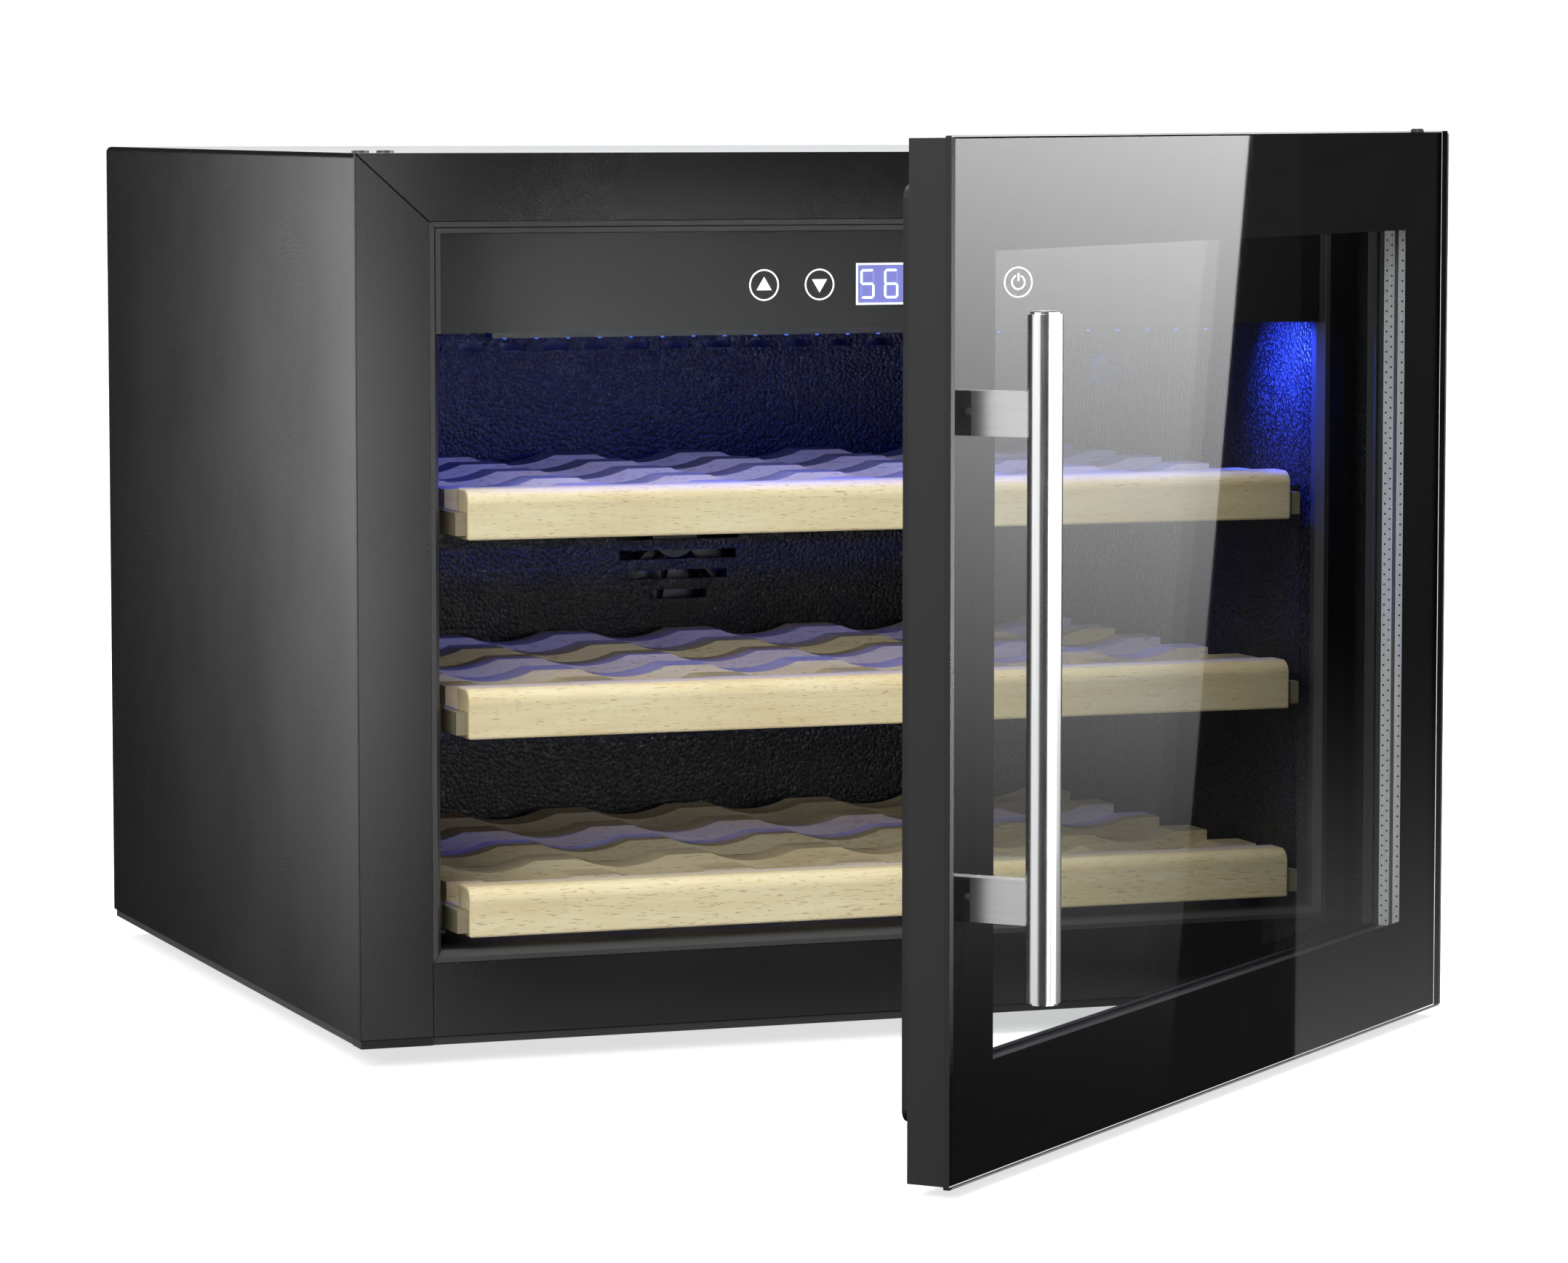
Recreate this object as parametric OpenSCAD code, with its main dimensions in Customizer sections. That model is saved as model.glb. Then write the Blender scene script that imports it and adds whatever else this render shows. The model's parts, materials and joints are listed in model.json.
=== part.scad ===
// Built-in wine cooler: a one-zone compressor cabinet with a full-glass door hinged on the right.
// Millimetres, +Z up. The origin is on the floor, under the middle of the cabinet's front face.
// The door opens towards -Y. Every door piece is drawn shut and then swung to its resting angle.

/* [Cabinet] */
// Outer width over the side panels
case_w = 560; // [540:1:600]
// Height of the cabinet without its feet
case_h = 435; // [430:1:440]
// Depth from the front frame to the back edge of the panels
case_d = 510; // [490:1:560]
// Height of the panels' bottom edge above the floor
case_z = 15; // [14:0.5:20]
// Thickness of the outer sheet
skin_t = 1; // [0.6:0.1:1.2]
// Radius of the side panels' rolled top edge
roll_r = 3; // [2.5:0.5:4]

/* [Front frame and opening] */
// Width of the door opening inside the trim
opening_w = 474; // [450:1:480]
// Height of the trim's lower inner edge above the floor
opening_z0 = 57.5; // [55:0.5:60]
// Height of the trim's upper inner edge above the floor
opening_z1 = 411; // [405:0.5:412]
// Width of the trim seen from the front
trim_w = 5.5; // [4:0.5:7]
// Depth of the front frame from front to back
frame_d = 14; // [10:1:16]

/* [Liner] */
// Depth of the back wall of the liner behind the front face
liner_back = 360; // [350:1:365]
// Wall thickness of the liner
liner_t = 2; // [1.5:0.1:3]
// Depth of the front of the evaporator cover behind the front face
cover_y = 330; // [325:1:334]

/* [Control panel] */
// Height of the control fascia
fascia_h = 49; // [46:1:52]
// Distance of each inner touch key from the display's centre
key_x1 = 39; // [36:1:44]
// Distance of each outer touch key from the display's centre
key_x2 = 68.5; // [64:0.5:76]
// Outer radius of a touch key's ring
key_r = 7.85; // [6:0.05:9]
// Width of the display
display_w = 39; // [36:1:44]
// Height of the display
display_h = 21; // [19:1:24]

/* [Shelves] */
// Width of a shelf's beech front
shelf_w = 445; // [430:1:448]
// Height of a shelf's beech front
shelf_h = 25; // [22:1:28]
// Height of the top shelf's upper edge above the floor
shelf_top_z = 285; // [280:1:290]
// Distance from one shelf to the next
shelf_pitch = 98.5; // [96:0.5:99]
// How far a shelf's back end lies behind the front face
shelf_back = 318; // [300:1:322]

/* [Door] */
// Width of the front glass
door_w = 590; // [584:1:594]
// Height of the front glass
door_h = 455; // [452:0.5:456]
// Height of the front glass's lower edge above the floor
door_z = 5; // [4:0.5:6]
// Angle at which the door rests open
door_angle = 42.5; // [0:0.5:57]
// Thickness of the front glass
glass_t = 4; // [3:0.5:5]
// Depth of the door frame behind the glass
door_frame_d = 17.7; // [16:0.1:20]
// Depth of the door gasket
gasket_d = 9; // [7:0.5:10]
// Gap between the shut gasket and the front frame
shut_gap = 0.4; // [0.3:0.1:1]
// Width of the printed border inside the glass's edge
border_w = 50; // [46:1:54]

/* [Handle] */
// Diameter of the handle bar
bar_dia = 15.5; // [14:0.5:18]
// Length of the handle bar
bar_len = 299; // [260:1:320]
// Height of the bar's lower end above the floor
bar_z = 86; // [80:1:100]
// Distance of the bar's axis from the glass's front face
bar_off = 33; // [30:1:38]
// Distance of the bar's axis from the glass's free edge
bar_in = 22; // [20:1:26]
// Height of each handle post
post_h = 19.5; // [18:0.5:24]
// Distance of each post's middle from the bar's middle
post_gap = 105.5; // [95:0.5:115]

/* [Hinges] */
// Distance of the hinge axis outside the side panel
hinge_out = 2; // [1:0.5:3]
// Radius of the hinge pins
pin_r = 4; // [3:0.5:4]
// Radial clearance of every pin, stud and shaft
fit = 0.05; // [0.02:0.01:0.1]
// Thickness of the hinge brackets
bracket_t = 2.5; // [2:0.5:3]

/* [Cooling] */
// Radius of the compressor's shell
comp_r = 50; // [44:1:52]
// Radius of the condenser fan's blades
fan_r = 52; // [46:1:54]
// Radius of the circulation fan's blades
circ_r = 38; // [34:1:40]

/* [Hidden] */
$fn = 48;
eps = 0.01;

// Cabinet levels and half widths
hw = case_w / 2;
case_top = case_z + case_h;
tray_drop = 4;
ow = opening_w / 2;
tw = ow + trim_w;
trim_z0 = opening_z0 - trim_w;
trim_z1 = opening_z1 + trim_w;
flange_t = 2;
foam_top = case_top - roll_r;
foam_back = liner_back + 26;
bulkhead_t = 1;
back_y = case_d - 2;
trim_d = 10;

// Control panel
fascia_y = 1;
fascia_t = 3;
fascia_z = opening_z1 - fascia_h;
display_z = fascia_z + 22;
housing_d = 66;
panel_side = ow - 0.5;
icon_t = 0.2;

// Shelves
shelf_front_y = 3;
shelf_front_t = 20;
rail_drop = 11.3;
rail_h = 11.4;
runner_wall = 2;
runner_in = 229;
function shelf_z(i) = shelf_top_z - i * shelf_pitch;

// Door layers, from the cabinet's front face outwards
frame_back = -(shut_gap + gasket_d);
frame_front = frame_back - door_frame_d;
print_t = 0.3;
glass_back = frame_front - print_t;
glass_front = glass_back - glass_t;
dw = door_w / 2;
door_top = door_z + door_h;
frame_in = 1;
profile_w = 32;
profile_h = 37;
spacer_w = 8;
hinge_x = hw + hinge_out;
hinge_y = (frame_back + frame_front) / 2;
bush_r = pin_r + 2.5;
notch_w = 22;
notch_z1 = case_top - 1.5;
notch_z0 = 12.5;
bush_len = 22;
pane_z0 = door_z + frame_in + profile_h;
pane_z1 = door_top - frame_in - profile_h;
pane_x = dw - frame_in - profile_w;
screw_x1 = hw - 8;
screw_x2 = hw - 20.5;
screw_y = 18;
bracket_z0 = case_z - tray_drop - bracket_t;
tongue_r = 5.5;

// Handle
bar_r = bar_dia / 2;
bar_x = -dw + bar_in;
bar_y = glass_front - bar_off;
bar_mid = bar_z + bar_len / 2;
post_w = 9;
handle_screw_r = 2;
head_r = 3.8;
head_h = 3;

// Feet
foot_front = [215, 92];
foot_rear = [235, 474];
stud_r = 4;
boss_r = 9;
boss_top = 27;

// Machine chamber
comp_at = [-150, 448];
cond_at = [105, 180];
shaft_r = 1.5;
pipe_r = 3;
bend_r = 14;
coil_y = 418;
coil_rows = 6;
coil_pitch = 26;
coil_half = 62;
coil_z0 = cond_at[1] - (coil_rows - 1) * coil_pitch / 2;

// ---------- shared shapes ----------

// Extrudes a drawing made in the X-Z plane from depth y0 to depth y1
module xz(y0, y1) {
    translate([0, y1, 0]) rotate([90, 0, 0]) linear_extrude(y1 - y0) children();
}

// Extrudes a drawing made in the Y-Z plane from x0 to x1
module yz(x0, x1) {
    translate([x0, 0, 0]) rotate([90, 0, 90]) linear_extrude(x1 - x0) children();
}

// Box between two opposite corners
module span(a, b) {
    translate(a) cube(b - a);
}

// Rectangle between two opposite corners
module rect(a, b) {
    translate(a) square(b - a);
}

// Rectangle with round corners
module round_rect(a, b, r) {
    rect(a + [r, 0], b - [r, 0]);
    rect(a + [0, r], b - [0, r]);
    for (x = [a[0] + r, b[0] - r], z = [a[1] + r, b[1] - r]) translate([x, z]) circle(r);
}

// Rectangular ring between an outer and an inner half width and two height ranges
module ring(xo, zo, xi, zi) {
    difference() {
        rect([-xo, zo[0]], [xo, zo[1]]);
        rect([-xi, zi[0]], [xi, zi[1]]);
    }
}

// Swings a shut door piece to the resting angle
module at_door() {
    translate([hinge_x, hinge_y, 0]) rotate([0, 0, door_angle]) translate([-hinge_x, -hinge_y, 0]) children();
}

// Places a child on each side of the cabinet
module both_sides() {
    children();
    mirror([1, 0, 0]) children();
}

// Rod along Y between two depths
module rod_y(x, z, r, y0, y1) {
    translate([x, y0, z]) rotate([-90, 0, 0]) cylinder(r = r, h = y1 - y0);
}

// Rod along X between two places
module rod_x(y, z, r, x0, x1) {
    translate([x0, y, z]) rotate([0, 90, 0]) cylinder(r = r, h = x1 - x0);
}

// ---------- outer cabinet ----------

module side_skin() {
    xz(flange_t, case_d) {
        rect([-hw, case_z], [-hw + skin_t, case_top - roll_r]);
        intersection() {
            translate([-hw + roll_r, case_top - roll_r]) difference() {
                circle(roll_r);
                circle(roll_r - skin_t);
            }
            rect([-hw, case_top - roll_r], [-hw + roll_r, case_top]);
        }
    }
}

module side_panel_left() {
    color([0.07, 0.07, 0.08]) side_skin();
}

module side_panel_right() {
    color([0.07, 0.07, 0.08]) mirror([1, 0, 0]) side_skin();
}

// The holes on the left are for hanging the door on that side
module top_panel() {
    color([0.80, 0.81, 0.82]) difference() {
        span([-hw + roll_r, flange_t, case_top - skin_t], [hw - roll_r, case_d, case_top]);
        for (x = [-screw_x1, -screw_x2, screw_x1, screw_x2])
            translate([x, screw_y, case_top - 5]) cylinder(r = 2, h = 10);
    }
}

inlet = [205, 48];
module back_panel() {
    color([0.16, 0.16, 0.17]) difference() {
        span([-hw + skin_t, back_y, case_z], [hw - skin_t, back_y + skin_t, foam_top]);
        for (i = [0:9], x = [-236, -78]) span([x, back_y - 1, 70 + i * 17], [x + 130, back_y + 2, 76 + i * 17]);
        for (i = [0:8]) span([cond_at[0] - 50, back_y - 1, 132 + i * 12],
                             [cond_at[0] + 50, back_y + 2, 137 + i * 12]);
        span([inlet[0] - 14, back_y - 1, inlet[1] - 10], [inlet[0] + 14, back_y + 2, inlet[1] + 10]);
        for (x = [-260, 260], z = [30, 430]) rod_y(x, z, 2, back_y - 1, back_y + 2);
    }
}

module tray_outline(in) {
    rect([-hw + skin_t + in, frame_d + 2 + in], [hw - skin_t - in, back_y - in]);
    rect([-tw + in, 1.5 + in], [tw - in, frame_d + 3 + in]);
}

module base_tray() {
    rim = 1.2;
    color([0.09, 0.09, 0.09]) difference() {
        union() {
            translate([0, 0, case_z - rim]) linear_extrude(rim) tray_outline(0);
            translate([0, 0, case_z - tray_drop]) linear_extrude(tray_drop) difference() {
                tray_outline(0);
                tray_outline(rim);
            }
            both_sides() for (p = [foot_front, foot_rear])
                translate([p[0], p[1], case_z - 2]) cylinder(r = boss_r, h = boss_top - case_z + 2);
            span([screw_x2 - 9, frame_d + 2, case_z - tray_drop], [screw_x1 + 6, frame_d + 30, case_z]);
        }
        both_sides() for (p = [foot_front, foot_rear])
            translate([p[0], p[1], 0]) cylinder(r = stud_r + fit, h = 40);
        for (x = [screw_x1, screw_x2]) translate([x, screw_y + 10, case_z - tray_drop - 1]) cylinder(r = 2, h = 4);
    }
}

module insulation_foam() {
    color([0.93, 0.88, 0.70]) difference() {
        span([-hw + skin_t, frame_d, case_z], [hw - skin_t, foam_back, foam_top]);
        span([-ow - liner_t, 0, opening_z0 - liner_t], [ow + liner_t, liner_back + liner_t, opening_z1 + liner_t]);
        both_sides() translate([foot_front[0], foot_front[1], 0]) cylinder(r = boss_r, h = boss_top);
        for (x = [screw_x1, screw_x2]) translate([x, screw_y, case_top - 10]) cylinder(r = 2, h = 20);
    }
}

module inner_liner() {
    color([0.08, 0.08, 0.09]) difference() {
        span([-ow - liner_t, trim_d, opening_z0 - liner_t], [ow + liner_t, liner_back + liner_t, opening_z1 + liner_t]);
        span([-ow, 0, opening_z0], [ow, liner_back, opening_z1]);
    }
}

// ---------- front frame ----------

// A stile's outline, mitred at the top; the inset keeps its back part inside the panels
module stile_outline(in) {
    slope = (case_top - trim_z1) / (hw - tw);
    polygon([[-hw + in, case_z], [-tw, case_z], [-tw, trim_z1], [-hw + in, case_top - in * slope]]);
}

module stile() {
    xz(0, flange_t) stile_outline(0);
    xz(flange_t, frame_d) stile_outline(roll_r);
}

module front_stile_left() {
    color([0.16, 0.16, 0.17]) stile();
}

module front_stile_right() {
    color([0.16, 0.16, 0.17]) mirror([1, 0, 0]) stile();
}

module rail_outline(in) {
    run = (hw - tw) / (case_top - trim_z1);
    polygon([[-hw + in * run, case_top - in], [hw - in * run, case_top - in], [tw, trim_z1], [-tw, trim_z1]]);
}

module front_top_rail() {
    color([0.16, 0.16, 0.17]) {
        xz(0, flange_t) rail_outline(0);
        xz(flange_t, frame_d) rail_outline(roll_r);
    }
}

module kick_rail() {
    color([0.16, 0.16, 0.17]) xz(0.3, frame_d) rect([-tw, case_z], [tw, trim_z0]);
}

// The trim's inner edge slopes back from the frame to the liner
module opening_trim() {
    bevel = 3;
    bevel_d = 5;
    color([0.22, 0.22, 0.23]) difference() {
        xz(0, trim_d) ring(tw, [trim_z0, trim_z1], ow, [opening_z0, opening_z1]);
        hull() {
            span([-ow - bevel, -1, opening_z0 - bevel], [ow + bevel, 0, opening_z1 + bevel]);
            span([-ow, bevel_d - eps, opening_z0], [ow, bevel_d, opening_z1]);
        }
    }
}

module stile_foot_caps() {
    color([0.03, 0.03, 0.03]) both_sides()
        span([-hw + 0.5, 0.3, case_z - tray_drop], [-tw - 0.3, frame_d + 1.5, case_z]);
}

// ---------- controls ----------

module display_hole(grow) {
    rect([-display_w / 2 - grow, display_z - display_h / 2 - grow],
         [display_w / 2 + grow, display_z + display_h / 2 + grow]);
}

module control_fascia() {
    color([0.05, 0.05, 0.06]) xz(fascia_y, fascia_y + fascia_t) difference() {
        rect([-panel_side, fascia_z], [panel_side, opening_z1 - 0.3]);
        display_hole(0);
    }
}

module control_housing() {
    wall = 2;
    y0 = fascia_y + fascia_t;
    color([0.07, 0.07, 0.08]) difference() {
        span([-panel_side, y0, fascia_z], [panel_side, y0 + housing_d, opening_z1]);
        span([-panel_side + wall, y0 - 1, fascia_z + wall], [panel_side - wall, y0 + housing_d - wall, opening_z1 + 1]);
        for (i = [0:15]) span([-190 + i * 24, y0 + 46, fascia_z - 1], [-176 + i * 24, y0 + 50, fascia_z + wall + 1]);
    }
}

module control_board() {
    y0 = fascia_y + fascia_t;
    color([0.05, 0.30, 0.16]) {
        span([-90, y0 + 6, fascia_z + 6], [90, y0 + 58, fascia_z + 7.6]);
        for (x = [-84, 84], y = [12, 52]) translate([x, y0 + y, fascia_z + 2]) cylinder(r = 3, h = 4);
        span([-70, y0 + 30, fascia_z + 7.6], [-45, y0 + 50, fascia_z + 24]);
        span([-30, y0 + 14, fascia_z + 7.6], [-10, y0 + 34, fascia_z + 10]);
        for (x = [10, 26]) translate([x, y0 + 42, fascia_z + 7.6]) cylinder(r = 6, h = 16);
        span([44, y0 + 12, fascia_z + 7.6], [74, y0 + 22, fascia_z + 16]);
    }
}

module display_bezel() {
    rim = 1.1;
    color([0.92, 0.93, 0.95]) xz(fascia_y - 0.2, fascia_y + fascia_t) difference() {
        display_hole(0);
        display_hole(-rim);
    }
}

module display_window() {
    color([0.55, 0.60, 0.85]) xz(fascia_y + 0.1, fascia_y + fascia_t) display_hole(-1.1);
}

// One seven-segment figure: each segment is a bar with pointed ends
module segment(len, w) {
    polygon([[-len / 2, 0], [-len / 2 + w / 2, w / 2], [len / 2 - w / 2, w / 2],
             [len / 2, 0], [len / 2 - w / 2, -w / 2], [-len / 2 + w / 2, -w / 2]]);
}

// Segments in the order top, upper left, upper right, middle, lower left, lower right, bottom
module figure(on) {
    h = 6.8;
    a = 3.2;
    w = 1.1;
    places = [[0, h], [-a, h / 2], [a, h / 2], [0, 0], [-a, -h / 2], [a, -h / 2], [0, -h]];
    for (i = [0:6]) if (on[i] == 1) translate(places[i])
        if (i == 0 || i == 3 || i == 6) segment(2 * a - 0.3, w);
        else rotate(90) segment(h - 0.3, w);
}

module display_digits() {
    first = -13.3;
    second = -0.5;
    color([0.75, 0.97, 1.0]) xz(fascia_y - 0.1, fascia_y + 0.1) {
        translate([first, display_z]) figure([1, 1, 0, 1, 0, 1, 1]);
        translate([second, display_z]) figure([1, 1, 0, 1, 1, 1, 1]);
    }
}

module key_ring() {
    difference() {
        circle(key_r);
        circle(key_r - 0.75);
    }
}

// Printed touch keys: colder, warmer, lamp and power
module touch_icons() {
    color([0.92, 0.92, 0.92]) xz(fascia_y - icon_t, fascia_y) {
        for (x = [-key_x2, -key_x1, key_x1, key_x2]) translate([x, display_z]) key_ring();
        translate([-key_x2, display_z]) polygon([[-4, -2.6], [4, -2.6], [0, 4]]);
        translate([-key_x1, display_z]) polygon([[-4, 2.6], [4, 2.6], [0, -4]]);
        translate([key_x1, display_z]) {
            translate([0, 0.8]) circle(2.5, $fn = 24);
            rect([-1.2, -3.6], [1.2, -2.2]);
            for (a = [0, 45, 135, 180]) translate([0, 0.8]) rotate(a) rect([3.5, -0.35], [5, 0.35]);
        }
        translate([key_x2, display_z]) {
            difference() {
                circle(3.9);
                circle(3.1);
                rect([-1.3, 0], [1.3, 5]);
            }
            rect([-0.45, 0.6], [0.45, 4.6]);
        }
    }
}

module led_strip() {
    color([0.55, 0.65, 1.0]) span([-200, 34, fascia_z - 4], [200, 46, fascia_z]);
}

// ---------- cooling inside the liner ----------

circ_at = [0, 235];
cover_x = 225;
cover_z = [opening_z0 + 5, opening_z1 - 2];

module evaporator_cover() {
    wall = 2;
    color([0.10, 0.10, 0.11]) difference() {
        span([-cover_x, cover_y, cover_z[0]], [cover_x, liner_back, cover_z[1]]);
        span([-cover_x + wall, cover_y + wall, cover_z[0] + wall],
             [cover_x - wall, liner_back + 1, cover_z[1] - wall]);
        for (i = [-8:8]) span([i * 24 - 7, cover_y - 1, cover_z[1] - 70], [i * 24 + 7, cover_y + 3, cover_z[1] - 66]);
        for (i = [-8:8]) span([i * 24 - 7, cover_y - 1, cover_z[1] - 60], [i * 24 + 7, cover_y + 3, cover_z[1] - 56]);
        for (i = [-3:3]) {
            half = sqrt(pow(circ_r, 2) - pow(i * 11, 2)) - 2;
            span([circ_at[0] - half, cover_y - 1, circ_at[1] + i * 11 - 2.5],
                 [circ_at[0] + half, cover_y + 3, circ_at[1] + i * 11 + 2.5]);
        }
    }
}

// Roll-bond plate with its raised channel, held off the liner's back wall by studs
module evaporator_plate() {
    color([0.72, 0.74, 0.76]) {
        span([-150, liner_back - 8, 90], [150, liner_back - 6, 380]);
        for (i = [0:4]) span([-130, liner_back - 9.5, 106 + i * 60], [130, liner_back - 8, 114 + i * 60]);
        for (i = [0:3]) span([i % 2 == 0 ? 122 : -130, liner_back - 9.5, 114 + i * 60],
                             [i % 2 == 0 ? 130 : -122, liner_back - 8, 166 + i * 60]);
        for (x = [-135, 135], z = [98, 372]) rod_y(x, z, 4, liner_back - 6, liner_back);
    }
}

module fan_frame(at, r, half, y0, y1, hub_r, shaft_len) {
    difference() {
        span([at[0] - half, y0, at[1] - half], [at[0] + half, y1, at[1] + half]);
        rod_y(at[0], at[1], r + 2, y0 - 1, y1 + 1);
        for (x = [-1, 1], z = [-1, 1]) rod_y(at[0] + x * (half - 5), at[1] + z * (half - 5), 2, y0 - 1, y1 + 1);
    }
    rod_y(at[0], at[1], hub_r, y1 - 3, y1);
    rod_y(at[0], at[1], shaft_r, y1 - 3 - shaft_len, y1 - 3);
    for (a = [45:90:315]) translate([at[0], 0, at[1]]) rotate([0, a, 0])
        span([hub_r - 2, y1 - 2.5, -2.5], [r + 3, y1, 2.5]);
}

// Cup-shaped hub with flat raked blades, running on the frame's shaft
module fan_rotor(at, r, y0, y1, hub_r, blades, depth) {
    translate([at[0], 0, at[1]]) difference() {
        union() {
            rod_y(0, 0, hub_r, y0, y1);
            for (i = [0:blades - 1]) rotate([0, i * 360 / blades, 0]) intersection() {
                translate([(hub_r + r) / 2, (y0 + y1) / 2, 0]) rotate([35, 0, 0])
                    cube([r - hub_r + 4, depth, 1.6], center = true);
                rod_y(0, 0, r, y0 - 5, y1 + 5);
            }
        }
        rod_y(0, 0, shaft_r + fit, y0 + 2, y1 + 1);
    }
}

circ_y = [cover_y + 2, cover_y + 17];
module circulation_fan_frame() {
    color([0.06, 0.06, 0.06]) fan_frame(circ_at, circ_r, circ_r + 6, circ_y[0], circ_y[1], 12, 6);
}

module circulation_fan_rotor() {
    color([0.12, 0.12, 0.12]) fan_rotor(circ_at, circ_r, circ_y[0] + 3, circ_y[1] - 3.5, 13, 7, 8);
}

module temperature_probe() {
    color([0.75, 0.75, 0.76]) {
        span([ow - 6, 284, 318], [ow, 300, 334]);
        rod_y(ow - 3, 326, 2.5, 262, 284);
    }
}

// ---------- shelves ----------

// A channel on each liner wall takes a shelf's rail
module shelf_runners() {
    color([0.12, 0.12, 0.13]) both_sides() for (i = [0:2]) {
        z1 = shelf_z(i) - rail_drop + 0.3;
        z0 = z1 - rail_h - 0.6;
        yz(runner_in, ow) difference() {
            rect([24, z0 - runner_wall], [shelf_back + 4, z1 + runner_wall]);
            rect([0, z0], [shelf_back + 10, z1]);
        }
        span([ow - 2, 24, z0], [ow, shelf_back + 4, z1]);
    }
}

module shelf_front(i) {
    r = 7;
    top = shelf_z(i);
    color([0.80, 0.62, 0.42]) yz(-shelf_w / 2, shelf_w / 2) {
        rect([shelf_front_y, top - shelf_h], [shelf_front_y + shelf_front_t, top - r]);
        rect([shelf_front_y + r, top - shelf_h], [shelf_front_y + shelf_front_t, top]);
        translate([shelf_front_y + r, top - r]) circle(r);
    }
}

// Two stringers and five slats, each slat hollowed to cradle six bottles
module shelf_deck(i) {
    top = shelf_z(i);
    y0 = shelf_front_y + shelf_front_t;
    slat_w = 24;
    slats = 5;
    step = (shelf_back - y0 - slat_w - 20) / (slats - 1);
    cradle_r = 60;
    color([0.78, 0.60, 0.40]) {
        both_sides() span([shelf_w / 2 - 12, y0, top - 24], [shelf_w / 2, shelf_back, top - 12]);
        difference() {
            for (k = [0:slats - 1]) span([-shelf_w / 2, y0 + 20 + k * step, top - 12],
                                         [shelf_w / 2, y0 + 20 + k * step + slat_w, top - 2]);
            for (b = [0:5]) rod_y((b - 2.5) * 72, top - 7 + cradle_r, cradle_r, y0, shelf_back + 5);
        }
    }
}

// The part of each rail that runs in its channel starts behind the shelf's front
module shelf_rails(i) {
    z1 = shelf_z(i) - rail_drop;
    web = 6;
    color([0.20, 0.20, 0.21]) both_sides() {
        span([shelf_w / 2, shelf_front_y + 2, z1 - rail_h], [shelf_w / 2 + web, shelf_back, z1]);
        span([shelf_w / 2 + web, shelf_front_y + 27, z1 - rail_h], [ow - 2.4, shelf_back, z1]);
    }
}

module shelf_top_front() { shelf_front(0); }
module shelf_top_deck() { shelf_deck(0); }
module shelf_top_rails() { shelf_rails(0); }
module shelf_middle_front() { shelf_front(1); }
module shelf_middle_deck() { shelf_deck(1); }
module shelf_middle_rails() { shelf_rails(1); }
module shelf_bottom_front() { shelf_front(2); }
module shelf_bottom_deck() { shelf_deck(2); }
module shelf_bottom_rails() { shelf_rails(2); }

// ---------- machine chamber ----------

module machine_bulkhead() {
    color([0.65, 0.66, 0.67]) span([-hw + skin_t, foam_back, case_z], [hw - skin_t, foam_back + bulkhead_t, foam_top]);
}

// Welded shell with a base plate and a relay box on its side
module compressor() {
    base = 27;
    body = 112;
    color([0.05, 0.05, 0.05]) translate([comp_at[0], comp_at[1], 0]) {
        difference() {
            span([-66, -52, base], [66, 52, base + 3]);
            for (x = [-56, 56], y = [-42, 42]) translate([x, y, base - 1]) cylinder(r = 4.5, h = 6);
        }
        rotate_extrude() {
            rect([0, base + 3], [comp_r - 8, base + 12]);
            rect([0, base + 12], [comp_r, base + body]);
            intersection() {
                translate([0, base + body]) circle(comp_r);
                rect([0, base + body], [comp_r, base + body + comp_r * 0.62]);
            }
        }
        difference() {
            span([comp_r - 10, -20, base + 30], [comp_r + 22, 20, base + 78]);
            cylinder(r = comp_r, h = 200);
        }
    }
}

module compressor_mounts() {
    color([0.10, 0.10, 0.10]) translate([comp_at[0], comp_at[1], 0])
        for (x = [-56, 56], y = [-42, 42]) translate([x, y, case_z]) {
            cylinder(r = 8, h = 12);
            translate([0, 0, 12]) cylinder(r = 4.5, h = 3);
            translate([0, 0, 15]) cylinder(r = 7, h = 3);
        }
}

// Serpentine tube through a pack of thin fins, the two end fins reaching down to the tray
module condenser_coil() {
    tube = pipe_r;
    rows = coil_rows;
    pitch = coil_pitch;
    y = coil_y;
    x0 = cond_at[0] - coil_half;
    x1 = cond_at[0] + coil_half;
    z0 = coil_z0;
    color([0.62, 0.42, 0.28]) {
        for (k = [0:rows - 1]) rod_x(y, z0 + k * pitch, tube, x0, x1);
        for (k = [0:rows - 2]) translate([k % 2 == 0 ? x1 : x0, y, z0 + (k + 0.5) * pitch])
            rotate([90, 0, 0]) rotate([0, 0, k % 2 == 0 ? -90 : 90]) rotate_extrude(angle = 180)
                translate([pitch / 2, 0]) circle(tube);
        for (i = [0:13]) difference() {
            span([cond_at[0] - 53 + i * 8, y - 12, i % 13 == 0 ? case_z : z0 - 10],
                 [cond_at[0] - 52 + i * 8, y + 12, z0 + (rows - 1) * pitch + 10]);
            for (k = [0:rows - 1]) rod_x(y, z0 + k * pitch, tube - 0.5, x0, x1);
        }
    }
}

cond_fan_y = [440, 466];
module condenser_fan_shroud() {
    color([0.08, 0.08, 0.08]) {
        fan_frame(cond_at, fan_r, fan_r + 9, cond_fan_y[0], cond_fan_y[1], 18, 14);
        for (x = [-1, 1]) span([cond_at[0] + x * 50 - 8, cond_fan_y[0] + 3, case_z],
                               [cond_at[0] + x * 50 + 8, cond_fan_y[0] + 6, cond_at[1] - fan_r - 9]);
    }
}

module condenser_fan_rotor() {
    color([0.14, 0.14, 0.15]) fan_rotor(cond_at, fan_r, cond_fan_y[0] + 5, cond_fan_y[1] - 3.5, 19, 5, 18);
}

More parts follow.
